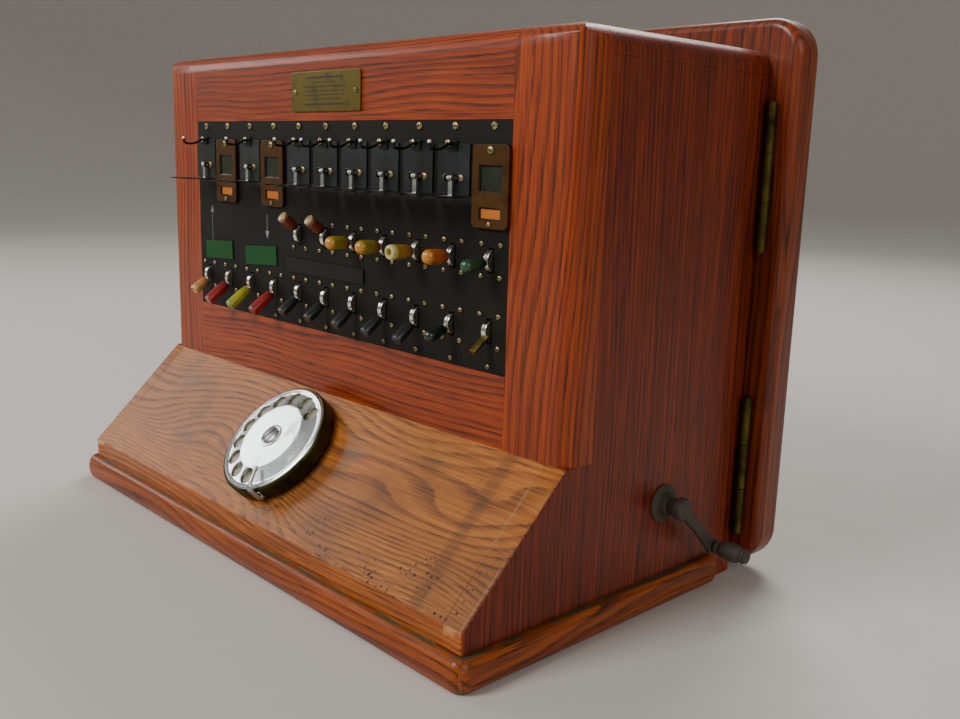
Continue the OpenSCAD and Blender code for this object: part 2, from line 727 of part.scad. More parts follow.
// The end knuckles, the pin and the leaf on the case's side board.
module case_hinge_leaves() color(brass) from_face() for (z = hinge_zs)
    translate([barrel_x, barrel_y, z]) {
        third = hinge_l / 3;
        union() {
            translate([0, 0, -hinge_l / 2]) cylinder(r = hinge_pin_r, h = hinge_l);
            for (z0 = [-hinge_l / 2, hinge_l / 2 - third]) {
                translate([0, 0, z0]) cylinder(r = knuckle_r, h = third);
                block([-barrel_out, barrel_fore - door_gap, z0],
                      [0, barrel_fore - door_gap + leaf_t, z0 + third]);
            }
            block([-barrel_out - board_t, barrel_fore - door_gap, -hinge_l / 2],
                  [-barrel_out + 0.8, barrel_fore - door_gap + leaf_t, hinge_l / 2]);
        }
    }

// The middle knuckle and the leaf on the door.
module door_hinge_leaves() color(brass) from_face() for (z = hinge_zs)
    translate([barrel_x, barrel_y, z]) {
        half = hinge_l / 6 - knuckle_gap;
        difference() {
            union() {
                translate([0, 0, -half]) cylinder(r = knuckle_r, h = 2 * half);
                block([-barrel_out, barrel_fore - leaf_t, -half], [0, barrel_fore, half]);
                block([-barrel_out - board_t, barrel_fore - leaf_t, -hinge_l / 2],
                      [-barrel_out + 0.8, barrel_fore, hinge_l / 2]);
            }
            translate([0, 0, -half - 1]) cylinder(r = hinge_pin_r + pin_clear, h = 2 * half + 2);
        }
    }

module terminal_strip() color("saddlebrown") from_face() {
    length = col_pitch * 6;
    x0 = -inner_x + 20;
    y0 = case_d - 42;
    block([x0, y0, plinth_t], [x0 + length, y0 + 22, plinth_t + 12]);
    for (i = [0 : 11], y = [6, 16])
        translate([x0 + (i + 0.5) * length / 12, y0 + y, plinth_t + 12]) cylinder(r = 2, h = 4);
}

base_board();
left_side();
right_side();
top_board();
front_frame();
desk_board();
desk_front_rail();
face_panel();
name_plate();
label_strips();
drop_plates();
drop_latches();
drop_coils();
indicator_covers();
indicator_windows();
panel_screws();
key_spring_packs();
dial_case();
dial_number_plate();
finger_stop();
generator_frame();
generator_magnets();
crank_escutcheon();
case_hinge_leaves();
terminal_strip();
finger_wheel();
crank_arm();
drive_gear();
crank_grip();
generator_rotor();
back_door();
door_hinge_leaves();
for (k = lower_keys)
    lever_key(k, low_row_z);
for (k = upper_keys)
    lever_key(k, up_row_z);
for (c = drop_columns)
    drop_flap(c);
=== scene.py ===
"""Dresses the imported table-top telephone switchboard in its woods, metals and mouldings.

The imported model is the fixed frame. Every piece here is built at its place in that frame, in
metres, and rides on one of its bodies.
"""

from __future__ import annotations

import json
import logging
import math
import random
from dataclasses import dataclass, field
from enum import Enum
from typing import Callable, Iterable, Sequence

import bmesh
import bpy
from mathutils import Matrix, Vector


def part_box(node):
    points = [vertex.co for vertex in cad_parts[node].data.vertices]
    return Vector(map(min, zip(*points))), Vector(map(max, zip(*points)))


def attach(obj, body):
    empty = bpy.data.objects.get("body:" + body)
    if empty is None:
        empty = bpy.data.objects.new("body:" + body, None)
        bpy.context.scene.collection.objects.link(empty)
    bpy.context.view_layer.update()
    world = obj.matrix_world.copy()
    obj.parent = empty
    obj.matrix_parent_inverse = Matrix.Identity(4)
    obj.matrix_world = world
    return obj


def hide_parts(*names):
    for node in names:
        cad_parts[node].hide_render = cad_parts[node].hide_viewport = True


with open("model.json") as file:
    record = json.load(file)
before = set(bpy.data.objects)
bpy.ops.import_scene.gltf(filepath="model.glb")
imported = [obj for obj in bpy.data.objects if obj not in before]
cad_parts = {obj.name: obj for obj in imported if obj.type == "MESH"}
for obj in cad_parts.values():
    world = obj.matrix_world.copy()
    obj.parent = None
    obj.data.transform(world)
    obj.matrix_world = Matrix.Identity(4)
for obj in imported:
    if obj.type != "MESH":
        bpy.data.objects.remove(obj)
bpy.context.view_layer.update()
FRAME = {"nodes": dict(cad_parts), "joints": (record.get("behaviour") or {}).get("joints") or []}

LOG = logging.getLogger("switchboard")
MM = 0.001
WELD = 2e-6
SAME = 1e-5
CASE = "case"
OUTWARD = Vector((0, -1, 0))
RIGHT = Vector((1, 0, 0))
UP = Vector((0, 0, 1))

Socket = bpy.types.NodeSocket
Node = bpy.types.Node
Tree = bpy.types.NodeTree
BMesh = bmesh.types.BMesh
BMEdge = bmesh.types.BMEdge
Point = tuple[float, float]
Place = tuple[float, float, float]


# ---------------------------------------------------------------- node and colour helpers


def linear(hex_code: str) -> tuple[float, float, float, float]:
    """Turns an sRGB hex colour into the linear colour that shaders take.

    Args:
        hex_code: The colour as six hex digits, such as "#A05A2C".

    Returns:
        Red, green, blue and alpha, from 0 to 1.
    """
    digits = hex_code.lstrip("#")
    values = [int(digits[i : i + 2], 16) / 255 for i in (0, 2, 4)]
    curve = [v / 12.92 if v <= 0.04045 else ((v + 0.055) / 1.055) ** 2.4 for v in values]
    return (curve[0], curve[1], curve[2], 1.0)


def add_node(tree: Tree, kind: str, inputs: dict | None = None, **settings) -> Node:
    """Adds one shader node with its settings, its fixed inputs and its links.

    Args:
        tree: The node tree to add to.
        kind: The node's type name, without the leading "ShaderNode".
        inputs: Values by input name or index; a socket is linked, a node is linked by its
            first output, and anything else is set.
        settings: Properties of the node itself.

    Returns:
        The new node.
    """
    node = tree.nodes.new("ShaderNode" + kind)
    for key, value in settings.items():
        setattr(node, key, value)
    for key, value in (inputs or {}).items():
        if isinstance(value, Node):
            value = value.outputs[0]
        if isinstance(value, Socket):
            tree.links.new(value, node.inputs[key])
        else:
            node.inputs[key].default_value = value
    return node


def mask(tree: Tree, *parts: Node | Socket | float | tuple) -> Node | Socket | float:
    """Multiplies masks, so that a layer shows only where all of them are full.

    Args:
        tree: The material's node tree.
        parts: Masks and plain factors; a pattern given with two limits is first stretched to
            be 0 at the first limit and 1 at the second, and clamped there.

    Returns:
        The product.
    """
    product = None
    for part in parts:
        if isinstance(part, tuple):
            pattern, empty, full = part
            part = add_node(tree, "MapRange", {"Value": pattern, "From Min": empty, "From Max": full})
        if product is None:
            product = part
        else:
            product = add_node(tree, "Math", {0: product, 1: part}, operation="MULTIPLY")
    return product


def layered(tree: Tree, base: Socket | str, layers: Sequence[tuple]) -> Socket:
    """Lays colours over a base colour, one after another.

    Args:
        tree: The material's node tree.
        base: The colour underneath, as a socket or a hex colour.
        layers: For each layer the parts of its mask, and last its hex colour.

    Returns:
        The finished colour.
    """
    colour = linear(base) if isinstance(base, str) else base
    for *parts, hex_code in layers:
        inputs = {0: mask(tree, *parts), 6: colour, 7: linear(hex_code)}
        colour = add_node(tree, "Mix", inputs, data_type="RGBA").outputs[2]
    return colour


# ---------------------------------------------------------------- finishes


@dataclass(frozen=True)
class Finish:
    """A surface finish; each kind says how its colour, gloss and relief are laid on."""

    name: str

    def shade(self, tree: Tree, coords: Socket) -> dict:
        """Builds the finish's patterns.

        Args:
            tree: The material's node tree.
            coords: Positions on the piece at rest, in metres.

        Returns:
            The inputs of the principled shader by name.
        """
        raise NotImplementedError

    def material(self) -> bpy.types.Material:
        """Returns the material of this finish, made once and then shared."""
        found = bpy.data.materials.get(self.name)
        if found:
            return found
        made = bpy.data.materials.new(self.name)
        made.use_nodes = True
        tree = made.node_tree
        tree.nodes.clear()
        coords = add_node(tree, "TexCoord").outputs["Object"]
        shader = add_node(tree, "BsdfPrincipled", self.shade(tree, coords))
        add_node(tree, "OutputMaterial", {"Surface": shader})
        return made


def edge_mask(tree: Tree, width: float) -> Node:
    """Marks the edges that hands and cloths rub bare.

    Args:
        tree: The material's node tree.
        width: How far the wear reaches in from an edge, in metres.

    Returns:
        A value from 0 on a flat face to 1 on an edge.
    """
    rounded = add_node(tree, "Bevel", {"Radius": width}, samples=4)
    true = add_node(tree, "NewGeometry").outputs["True Normal"]
    dot = add_node(tree, "VectorMath", {0: rounded, 1: true}, operation="DOT_PRODUCT").outputs["Value"]
    return mask(tree, (dot, 1.0, 0.875))


class Grain(Enum):
    """The axis that a board's grain runs along."""

    ALONG_X = 0
    ALONG_Y = 1
    ALONG_Z = 2


def drawn_noise(
    tree: Tree, coords: Socket, grain: Grain, width_mm: float, length_mm: float, detail: float,
) -> Node:
    """Makes a noise that is drawn out along the grain.

    Args:
        tree: The material's node tree.
        coords: Positions on the piece, in metres.
        grain: The axis that the grain runs along.
        width_mm: Size of the pattern across the grain.
        length_mm: Size of the pattern along the grain.
        detail: How many finer layers the noise has.

    Returns:
        A value that mostly lies between 0.3 and 0.7.
    """
    scale = [1 / (width_mm * MM)] * 3
    scale[grain.value] = 1 / (length_mm * MM)
    drawn = add_node(tree, "VectorMath", {0: coords, 1: scale}, operation="MULTIPLY")
    return add_node(tree, "TexNoise", {"Vector": drawn, "Scale": 1.0, "Detail": detail})


@dataclass(frozen=True)
class Oak(Finish):
    """Flat-sawn oak under an aged, tinted spirit varnish.

    The eye gets close wavering growth lines, dark open pores drawn out along the grain, and a
    deep red-brown film that has worn thin on some edges. Real pores are 0.3 mm wide; they are
    drawn about 1 mm wide, because finer ones would not show.
    """

    grain: Grain
    light: str = "#AA4400"
    body: str = "#8A2E00"
    dark: str = "#401000"
    pore: str = "#1C0501"
    worn: str = "#B8642C"
    dust: str = "#7E7450"
    ring_mm: float = 3.6
    figure_mm: float = 12.0
    pore_mm: float = 1.0
    pith_mm: Place = (40.0, -260.0, -90.0)
    gloss: float = 0.2
    roughness: float = 0.46
    wear: float = 0.4
    contrast: float = 0.68
    dusty: float = 0.0

    def shade(self, tree: Tree, coords: Socket) -> dict:
        """Lays on growth lines, fibres, pores, wear and dust.

        Args:
            tree: The material's node tree.
            coords: Positions on the piece at rest, in metres.

        Returns:
            The inputs of the principled shader by name.
        """
        fibre = drawn_noise(tree, coords, self.grain, 1.3, 45.0, 3.0)
        speck = drawn_noise(tree, coords, self.grain, self.pore_mm, 24.0, 1.0)
        shade = drawn_noise(tree, coords, self.grain, 30.0, 120.0, 2.0)
        spots = add_node(tree, "TexNoise", {"Vector": coords, "Scale": 1 / (16 * MM), "Detail": 4.0})
        ring, figure = self.growth(tree, coords)
        lines = mask(tree, (ring, 0.4, 0.95), (ring, 1.0, 0.93), (figure, 0.15, 0.5))
        open_pores = mask(tree, (speck, 0.52, 0.6), (ring, 0.45, 0.8))
        layers = [
            ((fibre, 0.38, 0.62), self.light),
            ((figure, 0.45, 0.7), 0.6, self.body),
            ((shade, 0.5, 0.85), 0.35, self.dark),
            (lines, self.contrast, self.dark),
            (open_pores, 0.6, self.pore),
            (edge_mask(tree, 1.6 * MM), (spots, 0.48, 0.62), self.wear, self.worn),
        ]
        if self.dusty:
            normal = add_node(tree, "NewGeometry").outputs["Normal"]
            level = add_node(tree, "SeparateXYZ", {0: normal}).outputs["Z"]
            layers.append(((level, 0.9, 1.0), (spots, 0.34, 0.56), self.dusty, self.dust))
        relief = add_node(tree, "Math", {0: fibre, 1: 0.3, 2: open_pores}, operation="MULTIPLY_ADD")
        bump = {"Strength": 0.3, "Distance": 0.2 * MM, "Height": relief}
        rough = {"Value": fibre, "To Min": self.roughness - 0.1, "To Max": self.roughness + 0.12}
        return {
            "Base Color": layered(tree, self.body, layers),
            "Roughness": add_node(tree, "MapRange", rough),
            "IOR": 1.4,
            "Coat Weight": self.gloss,
            "Coat Roughness": 0.18,
            "Normal": add_node(tree, "Bump", bump, invert=True),
        }

    def growth(self, tree: Tree, coords: Socket) -> tuple[Node, Node]:
        """Makes the growth rings of a trunk whose pith lies off to one side of the board.

        Args:
            tree: The material's node tree.
            coords: Positions on the piece, in metres.

        Returns:
            The place within a ring, from 0 to 1, and the noise that makes the rings uneven.
        """
        sway = drawn_noise(tree, coords, self.grain, 70.0, 240.0, 1.0)
        flat = [1.0, 1.0, 1.0]
        flat[self.grain.value] = 0.0
        pith = [v * MM for v in self.pith_mm]
        centred = add_node(tree, "VectorMath", {0: coords, 1: pith}, operation="SUBTRACT")
        across = add_node(tree, "VectorMath", {0: centred, 1: flat}, operation="MULTIPLY")
        distance = add_node(tree, "VectorMath", {0: across}, operation="LENGTH").outputs["Value"]
        swing = {0: sway, 1: self.figure_mm * MM * 3, 2: distance}
        swayed = add_node(tree, "Math", swing, operation="MULTIPLY_ADD")
        drift = {"W": swayed, "Scale": 1 / (self.figure_mm * MM), "Detail": 3.0}
        figure = add_node(tree, "TexNoise", drift, noise_dimensions="1D")
        shift = {0: figure, 1: 1.6 * self.ring_mm * MM, 2: swayed}
        uneven = add_node(tree, "Math", shift, operation="MULTIPLY_ADD")
        counted = add_node(tree, "Math", {0: uneven, 1: 1 / (self.ring_mm * MM)}, operation="MULTIPLY")
        return add_node(tree, "Math", {0: counted}, operation="FRACT"), figure


@dataclass(frozen=True)
class DeskOak(Oak):
    """The oak of the writing slope, whose varnish has been rubbed away by hands and papers.

    The eye gets a matte tan with brown grime in the grain, ink spots near the lower right edge,
    grey scuffs and a dark line beside the right end, in place of the glossy red of the case.
    """

    spot_z_mm: float = 40.0
    strip_x_mm: float = 172.0
    strip_mm: float = 9.0
    grime: str = "#4A2C12"
    ink: str = "#160C06"
    scuff: str = "#6C6658"

    def shade(self, tree: Tree, coords: Socket) -> dict:
        """Adds stains, scuffs and ink spots to the oak.

        Args:
            tree: The material's node tree.
            coords: Positions on the piece at rest, in metres.

        Returns:
            The inputs of the principled shader by name.
        """
        inputs = super().shade(tree, coords)
        broad, scuffed, here = (
            add_node(tree, "TexNoise", {
                "Vector": coords, "Scale": 1 / (size * MM), "Detail": 4.0, "Roughness": 0.6})
            for size in (70.0, 36.0, 34.0)
        )
        dots = add_node(tree, "TexVoronoi", {"Vector": coords, "Scale": 1 / (3.2 * MM)})
        place = add_node(tree, "SeparateXYZ", {0: coords}).outputs
        low = (place["Z"], (self.spot_z_mm + 22) * MM, self.spot_z_mm * MM)
        right = (place["X"], -20 * MM, 60 * MM)
        x, half, fade = self.strip_x_mm, self.strip_mm / 2, 2
        from_left = (place["X"], (x - half - fade) * MM, (x - half + fade) * MM)
        from_right = (place["X"], (x + half + fade) * MM, (x + half - fade) * MM)
        inputs["Base Color"] = layered(tree, inputs["Base Color"], [
            ((broad, 0.5, 0.72), 0.6, self.grime),
            ((scuffed, 0.6, 0.74), 0.5, self.scuff),
            (from_left, from_right, 0.4, self.grime),
            ((dots, 0.34, 0.22), (here, 0.5, 0.56), low, right, self.ink),
        ])
        return inputs


@dataclass(frozen=True)
class WornMetal(Finish):
    """A bare or plated metal that has been handled and left to tarnish.

    The eye gets a clouded colour, brighter rubbed edges, painted shade in its hollows and a gloss
    that changes from patch to patch, as on old brass, nickel plate, bronze or steel.
    """

    bright: str
    tarnish: str
    cover: float = 0.5
    cloud_mm: float = 9.0
    roughness: float = 0.3
    edge_shine: float = 0.7
    # The next two fields set how strongly, and in what colour, the hollows are darkened as painted shade.
    hollow_shade: float = 0.5
    grime: str = "#14120C"

    def shade(self, tree: Tree, coords: Socket) -> dict:
        """Lays tarnish over the metal, rubs its edges bright and paints shade into its hollows.

        Args:
            tree: The material's node tree.
            coords: Positions on the piece at rest, in metres.

        Returns:
            The inputs of the principled shader by name.
        """
        cloud = add_node(tree, "TexNoise", {
            "Vector": coords, "Scale": 1 / (self.cloud_mm * MM), "Detail": 5.0, "Roughness": 0.6})
        rubbed = mask(tree, edge_mask(tree, 0.4 * MM), self.edge_shine)
        kept = add_node(tree, "Math", {0: 1.0, 1: rubbed}, operation="SUBTRACT")
        cover = mask(tree, (cloud, 0.62 - 0.35 * self.cover, 0.8 - 0.2 * self.cover), kept)
        # Painted shade: the ambient occlusion darkens the hollows and creases of the metal.
        hollow = add_node(tree, "AmbientOcclusion", {"Distance": 1.6 * MM}, samples=4).outputs["AO"]
        rough = {"Value": cover, "To Min": self.roughness, "To Max": self.roughness + 0.2}
        fine = add_node(tree, "TexNoise", {"Vector": coords, "Scale": 1 / (0.9 * MM), "Detail": 2.0})
        bump = {"Strength": 0.03, "Distance": 0.02 * MM, "Height": fine}
        layers = [(cover, self.tarnish), ((hollow, 0.75, 0.35), self.hollow_shade, self.grime)]
        return {
            "Base Color": layered(tree, self.bright, layers),
            "Metallic": 1.0,
            "Roughness": add_node(tree, "MapRange", rough),
            "Normal": add_node(tree, "Bump", bump),
        }


@dataclass(frozen=True)
class CastResin(Finish):
    """Cast phenolic or casein, turned and polished, with a colour that changes along its length.

    The eye gets a waxy, faintly translucent body with soft marbling, and a tip that fingers have
    rubbed paler.
    """

    root: str
    body: str
    tip: str
    translucency: float = 0.12
    roughness: float = 0.28
    turn: float = 0.75

    def shade(self, tree: Tree, coords: Socket) -> dict:
        """Runs the colour from root to tip, with marbling.

        Args:
            tree: The material's node tree.
            coords: Positions on the piece at rest, in metres.

        Returns:
            The inputs of the principled shader by name.
        """
        along = add_node(tree, "Attribute", attribute_name="along").outputs["Fac"]
        marble = add_node(tree, "TexNoise", {
            "Vector": coords, "Scale": 1 / (5 * MM), "Detail": 4.0, "Distortion": 1.2})
        moved = add_node(tree, "Math", {0: marble, 1: 0.35, 2: along}, operation="MULTIPLY_ADD")
        place = add_node(tree, "Math", {0: moved, 1: 0.17}, operation="SUBTRACT")
        ramp = add_node(tree, "ValToRGB", {"Fac": place})
        stops = ramp.color_ramp.elements
        for stop, at, hex_code in zip(stops, (0.05, 0.4), (self.root, self.body)):
            stop.color, stop.position = linear(hex_code), at
        stops.new(self.turn).color = linear(self.body)
        stops.new(min(self.turn + 0.18, 1.0)).color = linear(self.tip)
        rough = {"Value": marble, "To Min": self.roughness - 0.08, "To Max": self.roughness + 0.15}
        return {
            "Base Color": ramp,
            "Roughness": add_node(tree, "MapRange", rough),
            "IOR": 1.56,
            "Subsurface Weight": self.translucency,
            "Subsurface Radius": (1.0, 0.5, 0.2),
            "Subsurface Scale": 2 * MM,
            "Coat Weight": 0.3,
            "Coat Roughness": 0.12,
        }


@dataclass(frozen=True)
class PressedSheet(Finish):
    """A flat painted, lacquered or fibre sheet with dust in its texture.

    The eye gets a dark satin skin, slightly mottled, with a film of pale dust that gathers in
    clouds.
    """

    base: str
    second: str
    dust: str = "#6E6A58"
    dust_amount: float = 0.3
    roughness: float = 0.45
    coat: float = 0.0
    bump: float = 0.15
    ior: float = 1.5

    def shade(self, tree: Tree, coords: Socket) -> dict:
        """Mottles the sheet and settles dust on it.

        Args:
            tree: The material's node tree.
            coords: Positions on the piece at rest, in metres.

        Returns:
            The inputs of the principled shader by name.
        """
        mottle = add_node(tree, "TexNoise", {"Vector": coords, "Scale": 1 / (1.2 * MM), "Detail": 3.0})
        cloud = add_node(tree, "TexNoise", {
            "Vector": coords, "Scale": 1 / (45 * MM), "Detail": 6.0, "Roughness": 0.62})
        layers = [(mottle, self.second), ((cloud, 0.42, 0.72), self.dust_amount, self.dust)]
        rough = {"Value": cloud, "To Min": self.roughness - 0.12, "To Max": self.roughness + 0.2}
        bump = {"Strength": self.bump, "Distance": 0.1 * MM, "Height": mottle}
        return {
            "Base Color": layered(tree, self.base, layers),
            "Roughness": add_node(tree, "MapRange", rough),
            "IOR": self.ior,
            "Coat Weight": self.coat,
            "Coat Roughness": 0.2,
            "Normal": add_node(tree, "Bump", bump),
        }


@dataclass(frozen=True)
class WoundWire(Finish):
    """Fine enamelled wire wound in even layers on a bobbin.

    The eye gets thin dark and bright rings round the coil; the dark between the turns is painted
    shade. The wire is 0.2 mm thick; the rings are drawn 0.7 mm apart, because finer ones would not show.
    """

    crest: str = "#8A4A22"
    groove_shade: str = "#2C120A"

    def shade(self, tree: Tree, coords: Socket) -> dict:
        """Rings the coil along its axis, which runs front to back, with painted shade between the turns.

        Args:
            tree: The material's node tree.
            coords: Positions on the piece at rest, in metres.

        Returns:
            The inputs of the principled shader by name.
        """
        depth = add_node(tree, "SeparateXYZ", {0: coords}).outputs["Y"]
        turns = add_node(tree, "Math", {0: depth, 1: 2 * math.pi / (0.7 * MM)}, operation="MULTIPLY")
        wave = add_node(tree, "Math", {0: turns}, operation="SINE")
        ridge = mask(tree, (wave, -1.0, 1.0))
        bump = add_node(tree, "Bump", {"Strength": 0.5, "Distance": 0.15 * MM, "Height": ridge})
        # Painted shade: the grooves between the turns are coloured dark.
        colour = layered(tree, self.groove_shade, [(ridge, self.crest)])
        return {"Base Color": colour, "Roughness": 0.38, "IOR": 1.5, "Coat Weight": 0.3, "Normal": bump}


@dataclass(frozen=True)
class OldGlass(Finish):
    """A small pane of old glass over a dark green flag.

    The eye gets a deep green-grey, clouded with a paler green-grey.
    """

    deep: str = "#0C120A"
    pale: str = "#343C2C"

    def shade(self, tree: Tree, coords: Socket) -> dict:
        """Clouds the pane.

        Args:
            tree: The material's node tree.
            coords: Positions on the piece at rest, in metres.

        Returns:
            The inputs of the principled shader by name.
        """
        cloud = add_node(tree, "TexNoise", {"Vector": coords, "Scale": 1 / (14 * MM), "Detail": 2.0})
        gloss = {"Roughness": 0.2, "IOR": 1.45, "Coat Weight": 0.3, "Coat Roughness": 0.1}
        return {"Base Color": layered(tree, self.deep, [(cloud, self.pale)]), **gloss}


CASE_OAK = {
    grain: Oak(f"varnished_oak_{grain.name.lower()}", grain, dusty=0.2) for grain in Grain
}
# The side boards' oak has its own closer grain, and its colour is darkened as painted shade for the faces
# that turn away from the front.
SHADED_SIDE_OAK = Oak(
    "dark_varnished_oak_side", Grain.ALONG_Z, light="#8A2E00", body="#661C00", dark="#340A00", pore="#180400",
    worn="#8A4418", ring_mm=2.4, figure_mm=5.0, pith_mm=(-60.0, 260.0, 0.0), wear=0.3, contrast=0.5,
    gloss=0.15,
)
TOP_OAK = Oak("varnished_oak_top", Grain.ALONG_X, pith_mm=(0.0, 40.0, -40.0), dusty=0.25)
DOOR_OAK = Oak(
    "dark_varnished_oak_door", Grain.ALONG_Z, light="#963A00", body="#702600", dark="#340E00", pore="#180400",
    worn="#9A5426", pith_mm=(-30.0, 500.0, 0.0), wear=0.5, dusty=0.3, gloss=0.35,
)
PLINTH_OAK = {
    grain: Oak(f"varnished_oak_plinth_{grain.name.lower()}", grain, light="#AC5204", body="#8A3802",
               dark="#481800", worn="#C08A50", dust="#4A4A34", wear=0.6, dusty=1.0)
    for grain in (Grain.ALONG_X, Grain.ALONG_Y)
}
DESK_OAK = DeskOak(
    "rubbed_oak_desk", Grain.ALONG_X, light="#BE7428", body="#A05A18", dark="#64330E", pore="#3C1D08",
    worn="#D0A878", ring_mm=2.2, figure_mm=20.0, pith_mm=(0.0, -20.0, -210.0), gloss=0.12, roughness=0.5,
    wear=0.6,
)
FRONT_OAK = Oak(
    "rubbed_oak_front_rail", Grain.ALONG_X, light="#C0660C", body="#9C4A04", dark="#562402", worn="#C89058",
    gloss=0.3, wear=0.7, pith_mm=(0.0, -20.0, -210.0),
)

FIBRE_PANEL = PressedSheet("black_fibre_board", "#040504", "#080907", dust="#2A2614", dust_amount=0.45,
                           roughness=0.6, ior=1.33)
PLATE_PAINT = PressedSheet("dark_lacquered_steel", "#080C10", "#0E1418", dust="#283034", dust_amount=0.35,
                           roughness=0.34, coat=0.2, bump=0.04)
TAPE_GREEN = PressedSheet("green_vinyl_tape", "#013A0E", "#024A14", dust="#1E5A2A", dust_amount=0.3,
                          roughness=0.5, bump=0.03, ior=1.35)
TAPE_BROWN = PressedSheet("brown_vinyl_tape", "#0C0502", "#140A04", dust="#2A1E10", dust_amount=0.3,
                          roughness=0.5, bump=0.03, ior=1.35)
WHITE_PAINT = PressedSheet("rubbed_white_paint", "#9EA09A", "#767A74", dust="#24261F", dust_amount=0.8,
                           roughness=0.6)
CARD = PressedSheet("orange_line_card", "#D0700C", "#B85C06", dust="#D89A50", dust_amount=0.3, roughness=0.7)
BAKELITE = PressedSheet("brown_bakelite", "#1E0C05", "#2A1209", dust="#4E3A2C", dust_amount=0.2,
                        roughness=0.3, coat=0.3, bump=0.04)
MAGNET_PAINT = PressedSheet("red_magnet_enamel", "#560D0A", "#681610", dust="#40322A", dust_amount=0.3,
                            roughness=0.35, coat=0.3, bump=0.08)
NUMBER_ENAMEL = PressedSheet("aged_number_ring", "#8E8A70", "#76704E", dust="#4A4630", dust_amount=0.5,
                             roughness=0.35, coat=0.4, bump=0.03)
FLOOR_PAPER = PressedSheet("pale_studio_floor", "#CFCBC2", "#D6D2CA", dust="#C8C4BA", dust_amount=0.2,
                           roughness=0.6, bump=0.0)
ENGRAVING = PressedSheet("black_engraving_wax", "#12100A", "#1E1A12", dust_amount=0.1, roughness=0.6)

PLATE_BRASS = WornMetal("aged_brass_plate", "#8A7A3C", "#4C4424", cover=0.5, cloud_mm=14.0, roughness=0.34)
WORKS_BRASS = WornMetal("aged_brass_works", "#B08A4A", "#6A4E26", cover=0.45, cloud_mm=12.0, roughness=0.34)
COVER_BRASS = WornMetal("lacquered_brown_brass", "#6A4A2C", "#40301C", cover=0.5, cloud_mm=16.0,
                        roughness=0.4, edge_shine=0.4)
HINGE_BRASS = WornMetal("dark_hinge_brass", "#5E5426", "#2C2812", cover=0.6, cloud_mm=14.0, roughness=0.4,
                        edge_shine=0.3)
SCREW_METAL = WornMetal("dull_brass_screw", "#A89C70", "#5E5632", cover=0.5, cloud_mm=3.0, roughness=0.3)
NICKEL = WornMetal("worn_nickel_plate", "#E6E3DA", "#BDB294", cover=0.2, cloud_mm=14.0, roughness=0.22,
                   edge_shine=0.0, hollow_shade=0.2)
FLAP_METAL = WornMetal("dull_nickel_sheet", "#C8C8C2", "#7E7E76", cover=0.35, cloud_mm=8.0, roughness=0.34,
                       hollow_shade=0.3)
SPRING_METAL = WornMetal("nickel_silver_spring", "#C8C0A8", "#8E8468", cover=0.3, cloud_mm=8.0,
                         roughness=0.28)
LATCH_METAL = WornMetal("blackened_steel_latch", "#40403A", "#161814", cover=0.7, cloud_mm=5.0,
                        roughness=0.34, edge_shine=0.6)
STEEL = WornMetal("worn_bright_steel", "#BEBEBA", "#6E6A60", cover=0.4, cloud_mm=7.0, roughness=0.3)
# The wheel's hollows take an olive painted shade.
WHEEL_METAL = WornMetal("worn_satin_chrome", "#F0F3F4", "#C8C8BC", cover=0.15, cloud_mm=18.0, roughness=0.24,
                        hollow_shade=0.25, grime="#4A4630")
CUP_BRONZE = WornMetal("green_bronze_cup", "#46481E", "#20240C", cover=0.6, cloud_mm=14.0, roughness=0.34,
                       edge_shine=0.4)
FLAP_PLATE = WornMetal("browned_steel_flap", "#3A3A34", "#141512", cover=0.6, cloud_mm=6.0, roughness=0.4,
                       edge_shine=0.8)
DARK_BRONZE = WornMetal("dark_bronze", "#3C3C26", "#15170E", cover=0.6, cloud_mm=9.0, roughness=0.3,
                        edge_shine=0.5)

PANE_GLASS = OldGlass("old_green_glass")
COIL_WIRE = WoundWire("enamelled_copper_winding")

RED_GRIP = CastResin("dark_red_casein", "#6A0C08", "#9C1A12", "#8A1812", 0.08, 0.3)
LIME_GRIP = CastResin("yellow_green_casein", "#8C7A14", "#A8A61C", "#7E9420", 0.2, 0.26)
BLACK_GRIP = CastResin("black_ebonite", "#101312", "#191E1E", "#232A2A", 0.0, 0.34)
DARK_GREEN_GRIP = CastResin("dark_green_ebonite", "#0A120E", "#12201A", "#1A2C24", 0.0, 0.18)
GREEN_GRIP = CastResin("bottle_green_casein", "#0A2414", "#123C22", "#1E5030", 0.05, 0.3)
AMBER_GRIP = CastResin("amber_casein", "#7A2E08", "#A8540E", "#C88E24", 0.2, 0.24)
GREEN_AMBER_GRIP = CastResin("green_streaked_amber_casein", "#7A2E08", "#8A7A18", "#C88A24", 0.2, 0.24)
CREAM_GRIP = CastResin("cream_casein", "#7A4210", "#9C7424", "#D2C478", 0.2, 0.3, 0.72)
WORN_TIP_GRIP = CastResin("brown_casein_with_ivory_tip", "#4E1A08", "#742E10", "#A88452", 0.1, 0.3, 0.74)
BROKEN_GRIP = CastResin("chipped_amber_casein", "#A86A2C", "#C08A44", "#D8B070", 0.25, 0.35)


# ---------------------------------------------------------------- mesh helpers


def aim(origin: Vector, z_axis: Vector, x_axis: Vector = RIGHT) -> Matrix:
    """Makes the placement whose Z runs along z_axis and whose X leans towards x_axis.

    Args:
        origin: Where the piece's own origin goes, in metres.
        z_axis: The direction of the piece's Z.
        x_axis: A direction that the piece's X follows as nearly as it can.

    Returns:
        The placement matrix.
    """
    z = z_axis.normalized()
    y = z.cross(x_axis).normalized()
    x = y.cross(z)
    turn = Matrix((x, y, z)).transposed().to_4x4()
    return Matrix.Translation(origin) @ turn


